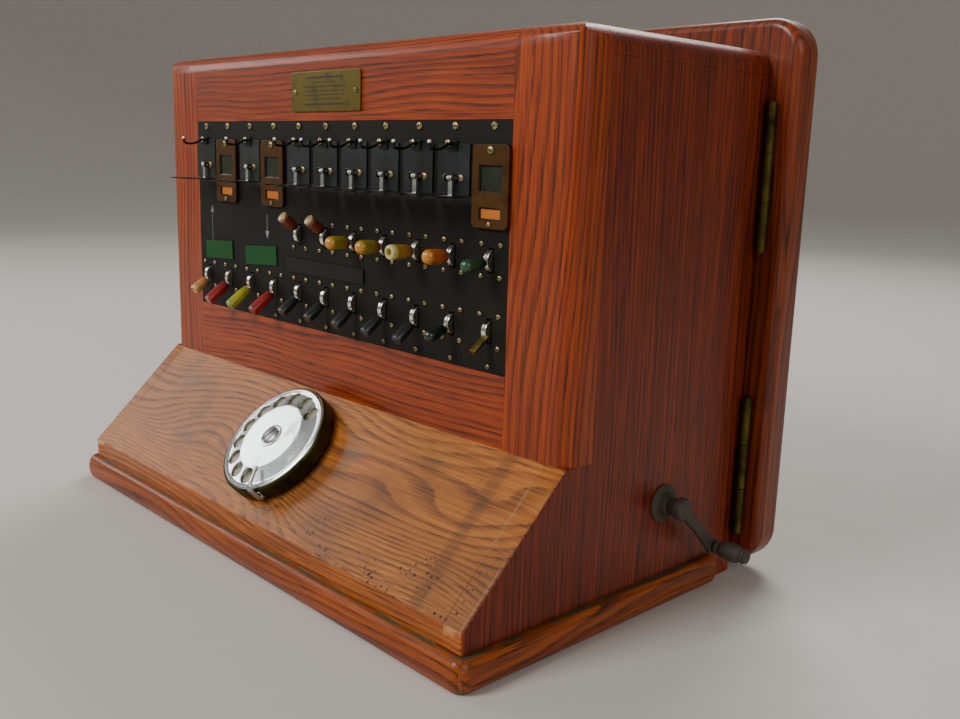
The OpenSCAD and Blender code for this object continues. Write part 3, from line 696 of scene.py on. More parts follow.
def lathe(rings: Sequence[Point], place: Matrix, segments: int = 32, closed: bool = False) -> BMesh:
    """Turns a profile round its Z axis.

    Args:
        rings: Radius and height of each ring, in metres; a radius of 0 closes to a point.
        place: Where the turned piece goes.
        segments: How many sides the turning has.
        closed: True joins the last ring to the first, for a hollow piece.

    Returns:
        The mesh, with a vertex layer "along" that runs from 0 at the lowest ring to 1 at the top.
    """
    bm = bmesh.new()
    layer = bm.verts.layers.float.new("along")
    low = min(h for _, h in rings)
    span = max(h for _, h in rings) - low or 1.0
    loops = []
    for radius, height in rings:
        count = segments if radius > 1e-7 else 1
        loop = []
        for i in range(count):
            angle = 2 * math.pi * i / segments
            vert = bm.verts.new((radius * math.cos(angle), radius * math.sin(angle), height))
            vert[layer] = (height - low) / span
            loop.append(vert)
        loops.append(loop)
    pairs = list(zip(loops, loops[1:]))
    if closed:
        pairs.append((loops[-1], loops[0]))
    for lower, upper in pairs:
        for i in range(segments):
            j = (i + 1) % segments
            corners = [loop[k % len(loop)] for loop, k in ((lower, i), (lower, j), (upper, j), (upper, i))]
            corners = list(dict.fromkeys(corners))
            if len(corners) > 2:
                bm.faces.new(corners)
    if not closed:
        for loop in (loops[0], loops[-1]):
            if len(loop) > 1:
                bm.faces.new(loop)
    bmesh.ops.recalc_face_normals(bm, faces=bm.faces)
    bm.transform(place)
    return bm


def in_metres(points: Iterable[Point]) -> list[Point]:
    """Turns a profile or an outline from millimetres into metres."""
    return [(x * MM, y * MM) for x, y in points]


def oval(width: float, height: float, power: float, count: int) -> list[Point]:
    """Draws a rounded section: power 2 is an ellipse, and a higher power is squarer.

    Args:
        width: Size along X, in metres.
        height: Size along Y, in metres.
        power: How square the section is.
        count: How many corners it has.

    Returns:
        The corners, counter-clockwise.
    """
    points = []
    for i in range(count):
        angle = 2 * math.pi * (i + 0.5) / count
        c, s = math.cos(angle), math.sin(angle)
        points.append((
            math.copysign(abs(c) ** (2 / power), c) * width / 2,
            math.copysign(abs(s) ** (2 / power), s) * height / 2,
        ))
    return points


def sweep(path: Sequence[Vector], sections: Sequence[Sequence[Point]], side: Vector) -> BMesh:
    """Carries a section along a path.

    Args:
        path: The points that the middle of the section follows, in metres.
        sections: One section per point, each with the same number of corners.
        side: The direction that the section's X keeps to.

    Returns:
        The closed mesh, with the vertex layer "along" from 0 to 1.
    """
    bm = bmesh.new()
    layer = bm.verts.layers.float.new("along")
    loops = []
    last = len(path) - 1
    for i, (point, section) in enumerate(zip(path, sections)):
        tangent = (path[min(i + 1, last)] - path[max(i - 1, 0)]).normalized()
        across = (side - tangent * side.dot(tangent)).normalized()
        up = tangent.cross(across)
        loop = []
        for x, y in section:
            vert = bm.verts.new(point + across * x + up * y)
            vert[layer] = i / last
            loop.append(vert)
        loops.append(loop)
    for lower, upper in zip(loops, loops[1:]):
        for i in range(len(lower)):
            j = (i + 1) % len(lower)
            bm.faces.new((lower[i], lower[j], upper[j], upper[i]))
    bm.faces.new(loops[0])
    bm.faces.new(loops[-1])
    bmesh.ops.recalc_face_normals(bm, faces=bm.faces)
    return bm


def smooth_path(corners: Sequence[Vector], steps: int) -> list[Vector]:
    """Rounds a polyline into a curve that keeps its ends and leans on its corners.

    Args:
        corners: The polyline.
        steps: How many steps each bend is drawn in.

    Returns:
        The points of the curve.
    """
    points = [corners[0]]
    middles = [(a + b) / 2 for a, b in zip(corners, corners[1:])]
    for start, corner, end in zip(middles, corners[1:-1], middles[1:]):
        for k in range(steps + 1):
            t = k / steps
            points.append(start * (1 - t) ** 2 + corner * 2 * t * (1 - t) + end * t**2)
    points.append(corners[-1])
    return points


def round_outline(width: float, height: float, radius: float, steps: int = 6) -> list[Point]:
    """Draws a rectangle with round corners about its middle, counter-clockwise.

    Args:
        width: Size along X, in metres.
        height: Size along Y, in metres.
        radius: Radius of the corners.
        steps: How many steps a corner is drawn in.

    Returns:
        The corners of the outline.
    """
    points = []
    for sx, sy, start in ((1, 1, 0), (-1, 1, 90), (-1, -1, 180), (1, -1, 270)):
        for k in range(steps + 1):
            angle = math.radians(start + 90 * k / steps)
            points.append((
                sx * (width / 2 - radius) + radius * math.cos(angle),
                sy * (height / 2 - radius) + radius * math.sin(angle),
            ))
    return points


def slab(outline: Sequence[Point], thickness: float, place: Matrix, edge: float = 0.0) -> BMesh:
    """Raises an outline into a plate with softened edges.

    Args:
        outline: The plate's outline, counter-clockwise, in metres.
        thickness: How far it rises along its Z.
        place: Where the plate goes.
        edge: Radius of the softened edges.

    Returns:
        The closed mesh.
    """
    bm = bmesh.new()
    face = bm.faces.new([bm.verts.new((x, y, 0)) for x, y in outline])
    raised = bmesh.ops.extrude_face_region(bm, geom=[face])["geom"]
    moved = [v for v in raised if isinstance(v, bmesh.types.BMVert)]
    bmesh.ops.translate(bm, verts=moved, vec=(0, 0, thickness))
    bmesh.ops.recalc_face_normals(bm, faces=bm.faces)
    if edge:
        soften(bm, edge)
    bm.transform(place)
    return bm


def soften(
    bm: BMesh, width: float, steps: int = 2, angle: float = 32.0,
    where: Callable[[BMEdge], bool] | None = None,
) -> None:
    """Rounds the sharp edges of a mesh.

    Args:
        bm: The mesh.
        width: Width of the rounding, in metres.
        steps: How many steps it is rounded in.
        angle: Edges that turn by more than this, in degrees, are sharp.
        where: Picks among the sharp edges; None takes them all.
    """
    limit = math.radians(angle)
    edges = [
        e for e in bm.edges
        if len(e.link_faces) == 2 and e.calc_face_angle(0) > limit and (where is None or where(e))
    ]
    if edges:
        bmesh.ops.bevel(
            bm, geom=edges, offset=width, offset_type="OFFSET", segments=steps, profile=0.5,
            affect="EDGES", clamp_overlap=True,
        )


def welded(node: str) -> BMesh:
    """Copies a CAD node's mesh as clean joined faces.

    Args:
        node: The node's name.

    Returns:
        The copy.
    """
    bm = bmesh.new()
    bm.from_mesh(FRAME["nodes"][node].data)
    bmesh.ops.remove_doubles(bm, verts=bm.verts, dist=WELD)
    bmesh.ops.dissolve_limit(bm, angle_limit=math.radians(0.6), verts=bm.verts, edges=bm.edges)
    return bm


def split(bm: BMesh) -> list[BMesh]:
    """Parts a mesh into its separate solids, from left to right and then upward.

    Args:
        bm: The mesh to part; it is freed.

    Returns:
        One mesh per solid.
    """
    seen: set[int] = set()
    groups = []
    bm.verts.index_update()
    for start in bm.verts:
        if start.index in seen:
            continue
        stack, group = [start], []
        seen.add(start.index)
        while stack:
            vert = stack.pop()
            group.append(vert)
            for edge in vert.link_edges:
                other = edge.other_vert(vert)
                if other.index not in seen:
                    seen.add(other.index)
                    stack.append(other)
        groups.append(group)
    parts = []
    for group in groups:
        part = bmesh.new()
        copies = {v.index: part.verts.new(v.co) for v in group}
        for face in dict.fromkeys(f for v in group for f in v.link_faces):
            part.faces.new([copies[v.index] for v in face.verts])
        parts.append(part)
    bm.free()
    return sorted(parts, key=lambda p: tuple(round(c, 4) for c in middle(p)))


def extent(bm: BMesh) -> tuple[Vector, Vector]:
    """Returns the lowest and highest corners of a mesh."""
    axes = list(zip(*(v.co for v in bm.verts)))
    return Vector(min(a) for a in axes), Vector(max(a) for a in axes)


def middle(bm: BMesh) -> Vector:
    """Returns the middle of a mesh's box."""
    low, high = extent(bm)
    return (low + high) / 2


def joined(parts: Iterable[BMesh]) -> BMesh:
    """Gathers several meshes into one and frees them.

    Args:
        parts: The meshes to gather.

    Returns:
        The whole mesh.
    """
    whole = bmesh.new()
    for part in parts:
        mesh = bpy.data.meshes.new("part")
        part.to_mesh(mesh)
        whole.from_mesh(mesh)
        bpy.data.meshes.remove(mesh)
        part.free()
    return whole


def drilled(blank: BMesh, cutters: BMesh) -> BMesh:
    """Takes cutters out of a blank.

    Args:
        blank: The mesh to drill; it is freed.
        cutters: What is taken out of it; it is freed.

    Returns:
        The drilled mesh.
    """
    things = []
    for name, bm in (("blank", blank), ("cutters", cutters)):
        mesh = bpy.data.meshes.new(name)
        bm.to_mesh(mesh)
        bm.free()
        things.append(bpy.data.objects.new(name, mesh))
        bpy.context.scene.collection.objects.link(things[-1])
    cut = things[0].modifiers.new("holes", "BOOLEAN")
    cut.operation, cut.object, cut.solver = "DIFFERENCE", things[1], "EXACT"
    made = bmesh.new()
    made.from_object(things[0], bpy.context.evaluated_depsgraph_get())
    for thing in things:
        bpy.data.objects.remove(thing)
    bmesh.ops.remove_doubles(made, verts=made.verts, dist=WELD)
    return made


def add_piece(
    name: str, bm: BMesh, body: str, finish: Finish,
    replaces: Sequence[str] = (), smooth: float = 40.0, extra: Sequence[Finish] = (),
) -> bpy.types.Object:
    """Turns a mesh into a finished piece that rides on a body.

    Args:
        name: The piece's name.
        bm: Its mesh, at its place in the frame; it is freed.
        body: The CAD body that it rides on.
        finish: Its finish.
        replaces: The CAD nodes that it stands for.
        smooth: Edges that turn by more than this, in degrees, stay crisp.
        extra: Further finishes that its faces may point to.

    Returns:
        The new object.
    """
    mesh = bpy.data.meshes.new(name)
    bm.to_mesh(mesh)
    bm.free()
    for made in (finish, *extra):
        mesh.materials.append(made.material())
    mesh.polygons.foreach_set("use_smooth", [True] * len(mesh.polygons))
    mesh.set_sharp_from_angle(angle=math.radians(smooth))
    piece = bpy.data.objects.new(name, mesh)
    bpy.context.scene.collection.objects.link(piece)
    even = piece.modifiers.new("even_normals", "WEIGHTED_NORMAL")
    even.keep_sharp = True
    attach(piece, body)
    if replaces:
        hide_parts(*replaces)
    LOG.info("built %s: %d faces on %s", name, len(mesh.polygons), body)
    return piece


def dress_node(node: str, finish: Finish) -> None:
    """Gives a CAD node whose shape is right a better finish.

    Args:
        node: The node's name.
        finish: Its new finish.
    """
    for slot in FRAME["nodes"][node].material_slots:
        slot.material = finish.material()
    LOG.info("dressed %s in %s", node, finish.name)


def refine(node: str, body: str, finish: Finish, edge: float, steps: int = 2) -> None:
    """Rebuilds a CAD node as one piece with softened edges and a finish.

    Args:
        node: The node's name.
        body: The body that it rides on.
        finish: Its finish.
        edge: Radius of its edges, in metres.
        steps: How many steps an edge is rounded in.
    """
    bm = welded(node)
    soften(bm, edge, steps)
    add_piece(f"{node}_made", bm, body, finish, (node,))


def lean(angle: float) -> Vector:
    """Returns the direction at an angle from rightward, in the plane of the face panel."""
    return Vector((math.cos(angle), 0, math.sin(angle)))


def slotted_head(radius: float, height: float, place: Matrix) -> BMesh:
    """Makes a domed screw head with a sawn slot.

    Args:
        radius: Radius of the head, in metres.
        height: How far it stands out.
        place: Where its seat goes; the dome rises along Z and the slot runs along X.

    Returns:
        The mesh of the head.
    """
    rise = [(math.cos(a), math.sin(a)) for a in (math.radians(d) for d in (8, 30, 55, 75))]
    floor = height * 0.35
    bottom = [(radius * 0.97, 0.0), (radius * 0.97, floor * 0.6), (radius * 0.9, floor)]
    rings = [(radius, 0.0), (radius, height * 0.2)]
    rings += [(radius * c, height * (0.2 + 0.8 * s)) for c, s in rise] + [(0.0, height)]
    halves = []
    for sign in (1, -1):
        half = lathe(rings, Matrix(), 20)
        cut = bmesh.ops.bisect_plane(
            half, geom=[*half.verts, *half.edges, *half.faces], plane_co=(0, sign * radius * 0.13, 0),
            plane_no=(0, -sign, 0), clear_outer=True,
        )["geom_cut"]
        bmesh.ops.contextual_create(half, geom=[g for g in cut if isinstance(g, BMEdge)])
        halves.append(half)
    halves.append(lathe(bottom, Matrix(), 20))
    head = joined(halves)
    head.transform(place)
    return head


# ---------------------------------------------------------------- sub-assemblies


@dataclass
class Studio:
    """The plain floor, the soft lights and the camera."""

    floor_radius: float = 2.6
    sweep_radius: float = 2.4
    lights: tuple[tuple[str, Place, Place, float, float], ...] = (
        ("key_light", (-0.4, -1.9, 1.7), (0.0, 0.0, 0.15), 0.9, 38.0),
        ("side_light", (2.0, -0.5, 1.2), (0.1, 0.0, 0.15), 1.2, 10.0),
        ("left_light", (-1.9, -0.75, 1.0), (0.0, -0.05, 0.1), 0.8, 9.0),
        ("rim_light", (-0.6, 1.5, 1.8), (0.0, 0.0, 0.25), 1.0, 30.0),
    )
    air: str = "#E8E6E0"
    air_strength: float = 0.22
    eye: Place = (0.5284, -0.4059, 0.2508)
    yaw: float = -46.53
    pitch: float = -11.71
    roll: float = 1.66
    lens: float = 37.59
    shift_y: float = 0.0037

    def build(self) -> None:
        """Sets the floor, the lights and the camera."""
        self.lay_floor()
        for lamp in self.lights:
            self.hang_light(*lamp)
        world = bpy.data.worlds.new("soft_room")
        world.use_nodes = True
        around = world.node_tree.nodes["Background"].inputs
        around["Color"].default_value = linear(self.air)
        around["Strength"].default_value = self.air_strength
        bpy.context.scene.world = world
        self.place_camera()

    def lay_floor(self) -> None:
        """Lays a pale round floor whose rim sweeps up, so that it has no horizon."""
        flat, rise = self.floor_radius, self.sweep_radius
        rings = [(0.0, 0.0), (flat * 0.5, 0.0), (flat, 0.0)]
        for k in range(1, 13):
            angle = math.radians(7 * k)
            rings.append((flat + rise * math.sin(angle), rise * (1 - math.cos(angle))))
        bm = lathe(rings, Matrix(), 72)
        rim = max(v.co.z for v in bm.verts) - MM
        lids = [f for f in bm.faces if all(v.co.z > rim for v in f.verts)]
        bmesh.ops.delete(bm, geom=lids, context="FACES_ONLY")
        for face in bm.faces:
            face.smooth = True
        mesh = bpy.data.meshes.new("floor")
        bm.to_mesh(mesh)
        bm.free()
        floor = bpy.data.objects.new("floor", mesh)
        mesh.materials.append(FLOOR_PAPER.material())
        bpy.context.scene.collection.objects.link(floor)

    @staticmethod
    def hang_light(name: str, at: Place, to: Place, size: float, power: float) -> None:
        """Hangs one soft square light.

        Args:
            name: The light's name.
            at: Where it hangs, in metres.
            to: What it points at.
            size: Side of the lit square, in metres.
            power: Its power, in watts.
        """
        data = bpy.data.lights.new(name, "AREA")
        data.size = size
        data.energy = power
        lamp = bpy.data.objects.new(name, data)
        lamp.matrix_world = aim(Vector(at), Vector(at) - Vector(to))
        bpy.context.scene.collection.objects.link(lamp)

    def place_camera(self) -> None:
        """Sets the camera to the right of the front, a little above the set."""
        yaw, pitch, roll = (math.radians(v) for v in (self.yaw, self.pitch, self.roll))
        forward = Vector((math.sin(yaw) * math.cos(pitch), math.cos(yaw) * math.cos(pitch), math.sin(pitch)))
        level = forward.cross(UP).normalized()
        above = level.cross(forward)
        right = level * math.cos(roll) + above * math.sin(roll)
        top = above * math.cos(roll) - level * math.sin(roll)
        data = bpy.data.cameras.new("camera")
        data.lens = self.lens
        data.shift_y = self.shift_y
        data.clip_start = 0.01
        camera = bpy.data.objects.new("camera", data)
        turn = Matrix((right, top, -forward)).transposed().to_4x4()
        camera.matrix_world = Matrix.Translation(Vector(self.eye)) @ turn
        bpy.context.scene.collection.objects.link(camera)
        bpy.context.scene.camera = camera


@dataclass
class OakCase:
    """The oak boards of the case: base, sides, top, front frame, desk and back door."""

    crisp: float = 0.5 * MM
    rubbed: float = 2.2 * MM
    nose_in: float = 30 * MM
    nose_out: float = 4.6 * MM
    corner_round: float = 9 * MM
    mitre_gap: float = 0.12 * MM
    door_round: float = 5.5 * MM
    rim: float = 30 * MM
    slope_normal: Vector = field(default_factory=lambda: -Vector(joint("dial_turn")["axis"]))

    def build(self) -> None:
        """Makes every board."""
        self.make_plinth()
        self.make_sides()
        self.make_front()
        self.make_desk()
        self.make_door()

    def make_plinth(self) -> None:
        """Makes the base board with its round-nosed mouldings, mitred at rounded corners."""
        low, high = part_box("base_board")
        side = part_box("right_side")[1].x
        back = max(v.co.y for v in FRAME["nodes"]["base_board"].data.vertices if v.co.x > side + MM)
        tall = high.z / 2
        profile = [(self.nose_in, 0.0), (self.corner_round, 0.0)]
        for k in range(13):
            angle = math.radians(-90 - 15 * k)
            profile.append((self.nose_out * (1 + math.cos(angle)), tall * (1 + math.sin(angle))))
        profile += [(self.corner_round, high.z), (self.nose_in, high.z)]

        def station(sign: float, turn: float, gap: float, swap: bool) -> list[Vector]:
            """Places the profile at one angle round a front corner.

            Args:
                sign: 1 for the right corner and -1 for the left one.
                turn: The angle, from 0 on the straight run to 45 degrees at the mitre.
                gap: How far the moulding keeps back from the mitre, in metres.
                swap: True for the side mouldings and False for the front one.

            Returns:
                The profile's points.
            """
            points = []
            for inset, z in profile:
                left = self.corner_round - inset
                past, across = left * math.tan(turn), left
                if left > 0.0:
                    past, across = left * math.sin(turn), left * math.cos(turn)
                along, depth = (across, past) if swap else (past, across)
                x = high.x - self.corner_round + along - (0 if swap else gap)
                y = low.y + self.corner_round - depth + (gap if swap else 0)
                points.append(Vector((sign * x, y, z)))
            return points

        turns = [math.radians(9 * k) for k in range(6)]
        front = [station(-1, t, self.mitre_gap, False) for t in reversed(turns)]
        front += [station(1, t, self.mitre_gap, False) for t in turns]
        oak, part = PLINTH_OAK, ("base_board",)
        add_piece("plinth_front_moulding", self.strip(front), CASE, oak[Grain.ALONG_X], part)
        for name, sign in (("left", -1), ("right", 1)):
            ends = [station(sign, t, self.mitre_gap, True) for t in reversed(turns)]
            ends.append([Vector((p.x, back, p.z)) for p in ends[-1]])
            add_piece(f"plinth_{name}_moulding", self.strip(ends), CASE, oak[Grain.ALONG_Y], part)
        inner, start = high.x - self.nose_in, low.y + self.nose_in
        corners = [(inner, start), (inner, back), (side, back), (side, high.y)]
        outline = corners + [(-x, y) for x, y in reversed(corners)]
        board = slab(outline, high.z - 0.2 * MM, Matrix.Translation((0, 0, 0.1 * MM)), self.crisp)
        add_piece("plinth_board", board, CASE, CASE_OAK[Grain.ALONG_X], part)

    @staticmethod
    def strip(stations: Sequence[Sequence[Vector]]) -> BMesh:
        """Joins profiles along a run into a closed moulding.

        Args:
            stations: The profiles in order, each with the same number of points.

        Returns:
            The mesh of the moulding.
        """
        bm = bmesh.new()
        loops = [[bm.verts.new(p) for p in station] for station in stations]
        count = len(loops[0])
        for first, second in zip(loops, loops[1:]):
            for i in range(count):
                j = (i + 1) % count
                bm.faces.new((first[i], first[j], second[j], second[i]))
        bm.faces.new(loops[0])
        bm.faces.new(loops[-1])
        bmesh.ops.recalc_face_normals(bm, faces=bm.faces)
        return bm

    def make_sides(self) -> None:
        """Makes the two side boards, with the desk's rubbed finish on their sloping edges."""
        front_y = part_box("front_frame")[0].y
        for node in ("left_side", "right_side"):
            bm = welded(node)
            outer = max(abs(v.co.x) for v in bm.verts)

            def exposed(edge: BMEdge) -> bool:
                """Tells whether an edge lies on the desk's open end."""
                ends = [v.co for v in edge.verts]
                outside = all(abs(abs(c.x) - outer) < SAME and c.y < front_y + 5 * MM for c in ends)
                return outside and abs(ends[0].x - ends[1].x) < SAME

            soften(bm, self.rubbed, 4, where=exposed)
            soften(bm, self.crisp, 2, angle=50)
            for face in bm.faces:
                if face.normal.dot(self.slope_normal) > 0.8:
                    face.material_index = 1
                elif face.normal.y < -0.7:
                    face.material_index = 2
            # The board's own faces take the side oak darkened as painted shade; its slope takes the desk's
            # finish and its front faces the front rail's.
            add_piece(f"{node}_board", bm, CASE, SHADED_SIDE_OAK, (node,), extra=(DESK_OAK, FRONT_OAK))

    def make_front(self) -> None:
        """Makes the top board and the stiles and rails of the front frame, with painted shade on their
        outward faces.
        """
        top = welded("top_board")
        soften(top, self.crisp, 2, angle=50)
        self.paint_outside_shade(top)
        add_piece("top_board_made", top, CASE, TOP_OAK, ("top_board",), extra=(SHADED_SIDE_OAK,))
        for bm in split(welded("front_frame")):
            low, high = extent(bm)
            upright = high.z - low.z > high.x - low.x
            place = middle(bm)
            if upright:
                name = "frame_right_stile" if place.x > 0 else "frame_left_stile"
            else:
                name = "frame_top_rail" if place.z > 0.2 else "frame_bottom_rail"
            soften(bm, self.crisp, 2, angle=50)
            self.paint_outside_shade(bm)
            grain = Grain.ALONG_Z if upright else Grain.ALONG_X
            add_piece(name, bm, CASE, CASE_OAK[grain], ("front_frame",), extra=(SHADED_SIDE_OAK,))

    @staticmethod
    def paint_outside_shade(bm: BMesh) -> None:
        """Paints shade on the faces that look outward to the left or right, by giving them the side boards'
        shaded finish.

        Args:
            bm: The mesh of a board whose second finish is the darker one.
        """
        for face in bm.faces:
            if abs(face.normal.x) > 0.75 and face.normal.x * face.calc_center_median().x > 0:
                face.material_index = 1

    def make_desk(self) -> None:
        """Makes the sloping desk and the rail beneath its front edge."""
        refine("desk_board", CASE, DESK_OAK, self.crisp)
        bm = welded("desk_front_rail")
        low = extent(bm)[0]

        def rubbed(edge: BMEdge) -> bool:
            """Tells whether an edge is the rail's upper front one, or beside it."""
            return all(abs(v.co.y - low.y) < SAME and v.co.z > low.z + MM for v in edge.verts)

        soften(bm, 1.2 * MM, 3, where=rubbed)
        add_piece("desk_front_rail_made", bm, CASE, FRONT_OAK, ("desk_front_rail",))

    def make_door(self) -> None:
        """Makes the overhanging back door with its rounded rim."""
        bm = welded("back_door")
        low, high = extent(bm)

        def on_rim(edge: BMEdge) -> bool:
            """Tells whether an edge runs round one of the door's two faces."""
            ends = [v.co for v in edge.verts]
            near = all(min(abs(c[k] - b[k]) for b in (low, high) for k in (0, 2)) < self.rim for c in ends)
            return near and abs(ends[0].y - ends[1].y) < SAME

        soften(bm, self.door_round, 5, where=on_rim)
        add_piece("back_door_made", bm, "door", DOOR_OAK, ("back_door",))


def joint(name: str) -> dict:
    """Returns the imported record's joint of that name."""
    return next(j for j in FRAME["joints"] if j["name"] == name)


def numbered(prefix: str) -> list[tuple[str, int]]:
    """Lists the CAD nodes that share a prefix, with their column numbers."""
    names = sorted(n for n in FRAME["nodes"] if n.startswith(prefix))
    return [(n, int(n[len(prefix):])) for n in names]


@dataclass
class Hinges:
    """The two long butt hinges of the door, with their pins."""

    pin_radius: float = 2.4 * MM
    pin_rise: float = 0.9 * MM

    def build(self) -> None:
        """Makes the leaves and the domed ends of the pins."""
        refine("case_hinge_leaves", CASE, HINGE_BRASS, 0.25 * MM)
        refine("door_hinge_leaves", "door", HINGE_BRASS, 0.25 * MM)
        pivot = joint("door_swing")["pos_m"]
        ends = []
        dome = [(self.pin_radius, 0.0), (self.pin_radius * 0.85, self.pin_rise * 0.6), (0.0, self.pin_rise)]
        for leaf in split(welded("case_hinge_leaves")):
            low, high = extent(leaf)
            leaf.free()
            for z, way in ((high.z, UP), (low.z, -UP)):
                ends.append(lathe(dome, aim(Vector((pivot[0], pivot[1], z)), way), 20))
        add_piece("hinge_pin_ends", joined(ends), CASE, HINGE_BRASS)


@dataclass
class FacePanel:
    """The fibre face panel with its plate, tapes, painted arrows and screws."""

    plate_round: float = 1.2 * MM
    plate_thick: float = 1.2 * MM
    plate_border: float = 2 * MM
    rules: tuple[Place, ...] = (
        (8.2, 0.56, 1.0), (5.4, 0.34, 0.5), (2.8, 0.66, 0.7), (0.2, 0.58, 0.5), (-2.2, 0.66, 0.5),
        (-4.6, 0.5, 0.5), (-7.8, 0.62, 1.0),
    )
    arrows: tuple[tuple[str, float, float, float], ...] = (("up", -145, 184, 26), ("down", -70, 191, 16))
    paint: float = 0.06 * MM
    large_screw: float = 1.45
    seed: int = 11

    def build(self) -> None:
        """Makes the panel and what is fixed flat on it."""
        dress_node("face_panel", FIBRE_PANEL)
        self.make_name_plate()
        self.make_tapes()
        self.make_arrows()
        self.make_screws()

    def make_name_plate(self) -> None:
        """Makes the engraved brass plate, with plain rules in place of its words."""
        low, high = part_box("name_plate")
        centre = (low + high) / 2
        width, height = high.x - low.x, high.z - low.z
        seat = Vector((centre.x, high.y, centre.z))
        outline = round_outline(width, height, self.plate_round)
        plate = slab(outline, self.plate_thick, aim(seat, OUTWARD), 0.3 * MM)
        add_piece("name_plate_made", plate, CASE, PLATE_BRASS, ("name_plate",))
        screws = []
        for side, turn in ((-1, 1.2), (1, 0.4)):
            at = seat + Vector((side * (width / 2 - 4.5 * MM), -self.plate_thick, 0))
            screws.append(slotted_head(1.6 * MM, 1.0 * MM, aim(at, OUTWARD, lean(turn))))
        add_piece("name_plate_screws", joined(screws), CASE, SCREW_METAL)
        rules = []
        front = seat + OUTWARD * (self.plate_thick - 0.01 * MM)
        for z, share, thick in self.rules:
            outline = round_outline((width - 2 * self.plate_border) * share, thick * MM, 0.2 * MM, 2)
            rules.append(slab(outline, self.paint, aim(front + UP * z * MM, OUTWARD)))
        add_piece("name_plate_rules", joined(rules), CASE, ENGRAVING)

    def make_tapes(self) -> None:
        """Makes the blank embossed label strips."""
        for i, bm in enumerate(split(welded("label_strips"))):
            finish = TAPE_BROWN if i == 2 else TAPE_GREEN
            soften(bm, 0.2 * MM, 2)
            add_piece(f"label_strip_{i + 1}", bm, CASE, finish, ("label_strips",))

    def make_arrows(self) -> None:
        """Paints the two worn arrows on the panel, one up and one down."""
        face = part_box("face_panel")[0].y
        neck, head, shaft = 0.55, 2.4, 0.5
        for name, x, z, length in self.arrows:
            barb = length - 5
            points = [(-shaft / 2, 0), (shaft / 2, 0), (neck / 2, barb), (head, barb - 0.5), (0, length),
                      (-head, barb - 0.5), (-neck / 2, barb)]
            way, start = (1, z) if name == "up" else (-1, z + length)
            turn = Matrix((RIGHT * way, UP * way, OUTWARD)).transposed().to_4x4()
            bm = slab(in_metres(points), self.paint, Matrix.Translation((x * MM, face, start * MM)) @ turn)
            add_piece(f"painted_arrow_{name}", bm, CASE, WHITE_PAINT)

    def make_screws(self) -> None:
        """Makes every panel screw with its slot at its own angle."""
        turns = random.Random(self.seed)
        hinges = [Vector(joint(f"{node}_fall")["pos_m"]) for node, _ in numbered("drop_flap_")]
        heads = []
        for bm in split(welded("panel_screws")):
            low, high = extent(bm)
            bm.free()
            seat = Vector(((low.x + high.x) / 2, high.y, (low.z + high.z) / 2))
            radius, tall = (high.x - low.x) / 2, high.y - low.y
            above = seat.z - hinges[0].z
            if above > -4 * MM:
                radius *= self.large_screw
            seats = [seat]
            if abs(above) < 4 * MM:
                axis = min((h.x for h in hinges), key=lambda x: abs(x - seat.x))
                seats.append(Vector((2 * axis - seat.x, seat.y, seat.z)))
            for at in seats:
                turn = lean(turns.uniform(0, math.pi))
                heads.append(slotted_head(radius, tall + 0.25 * MM, aim(at, OUTWARD, turn)))
        add_piece("panel_screws_made", joined(heads), CASE, SCREW_METAL, ("panel_screws",))


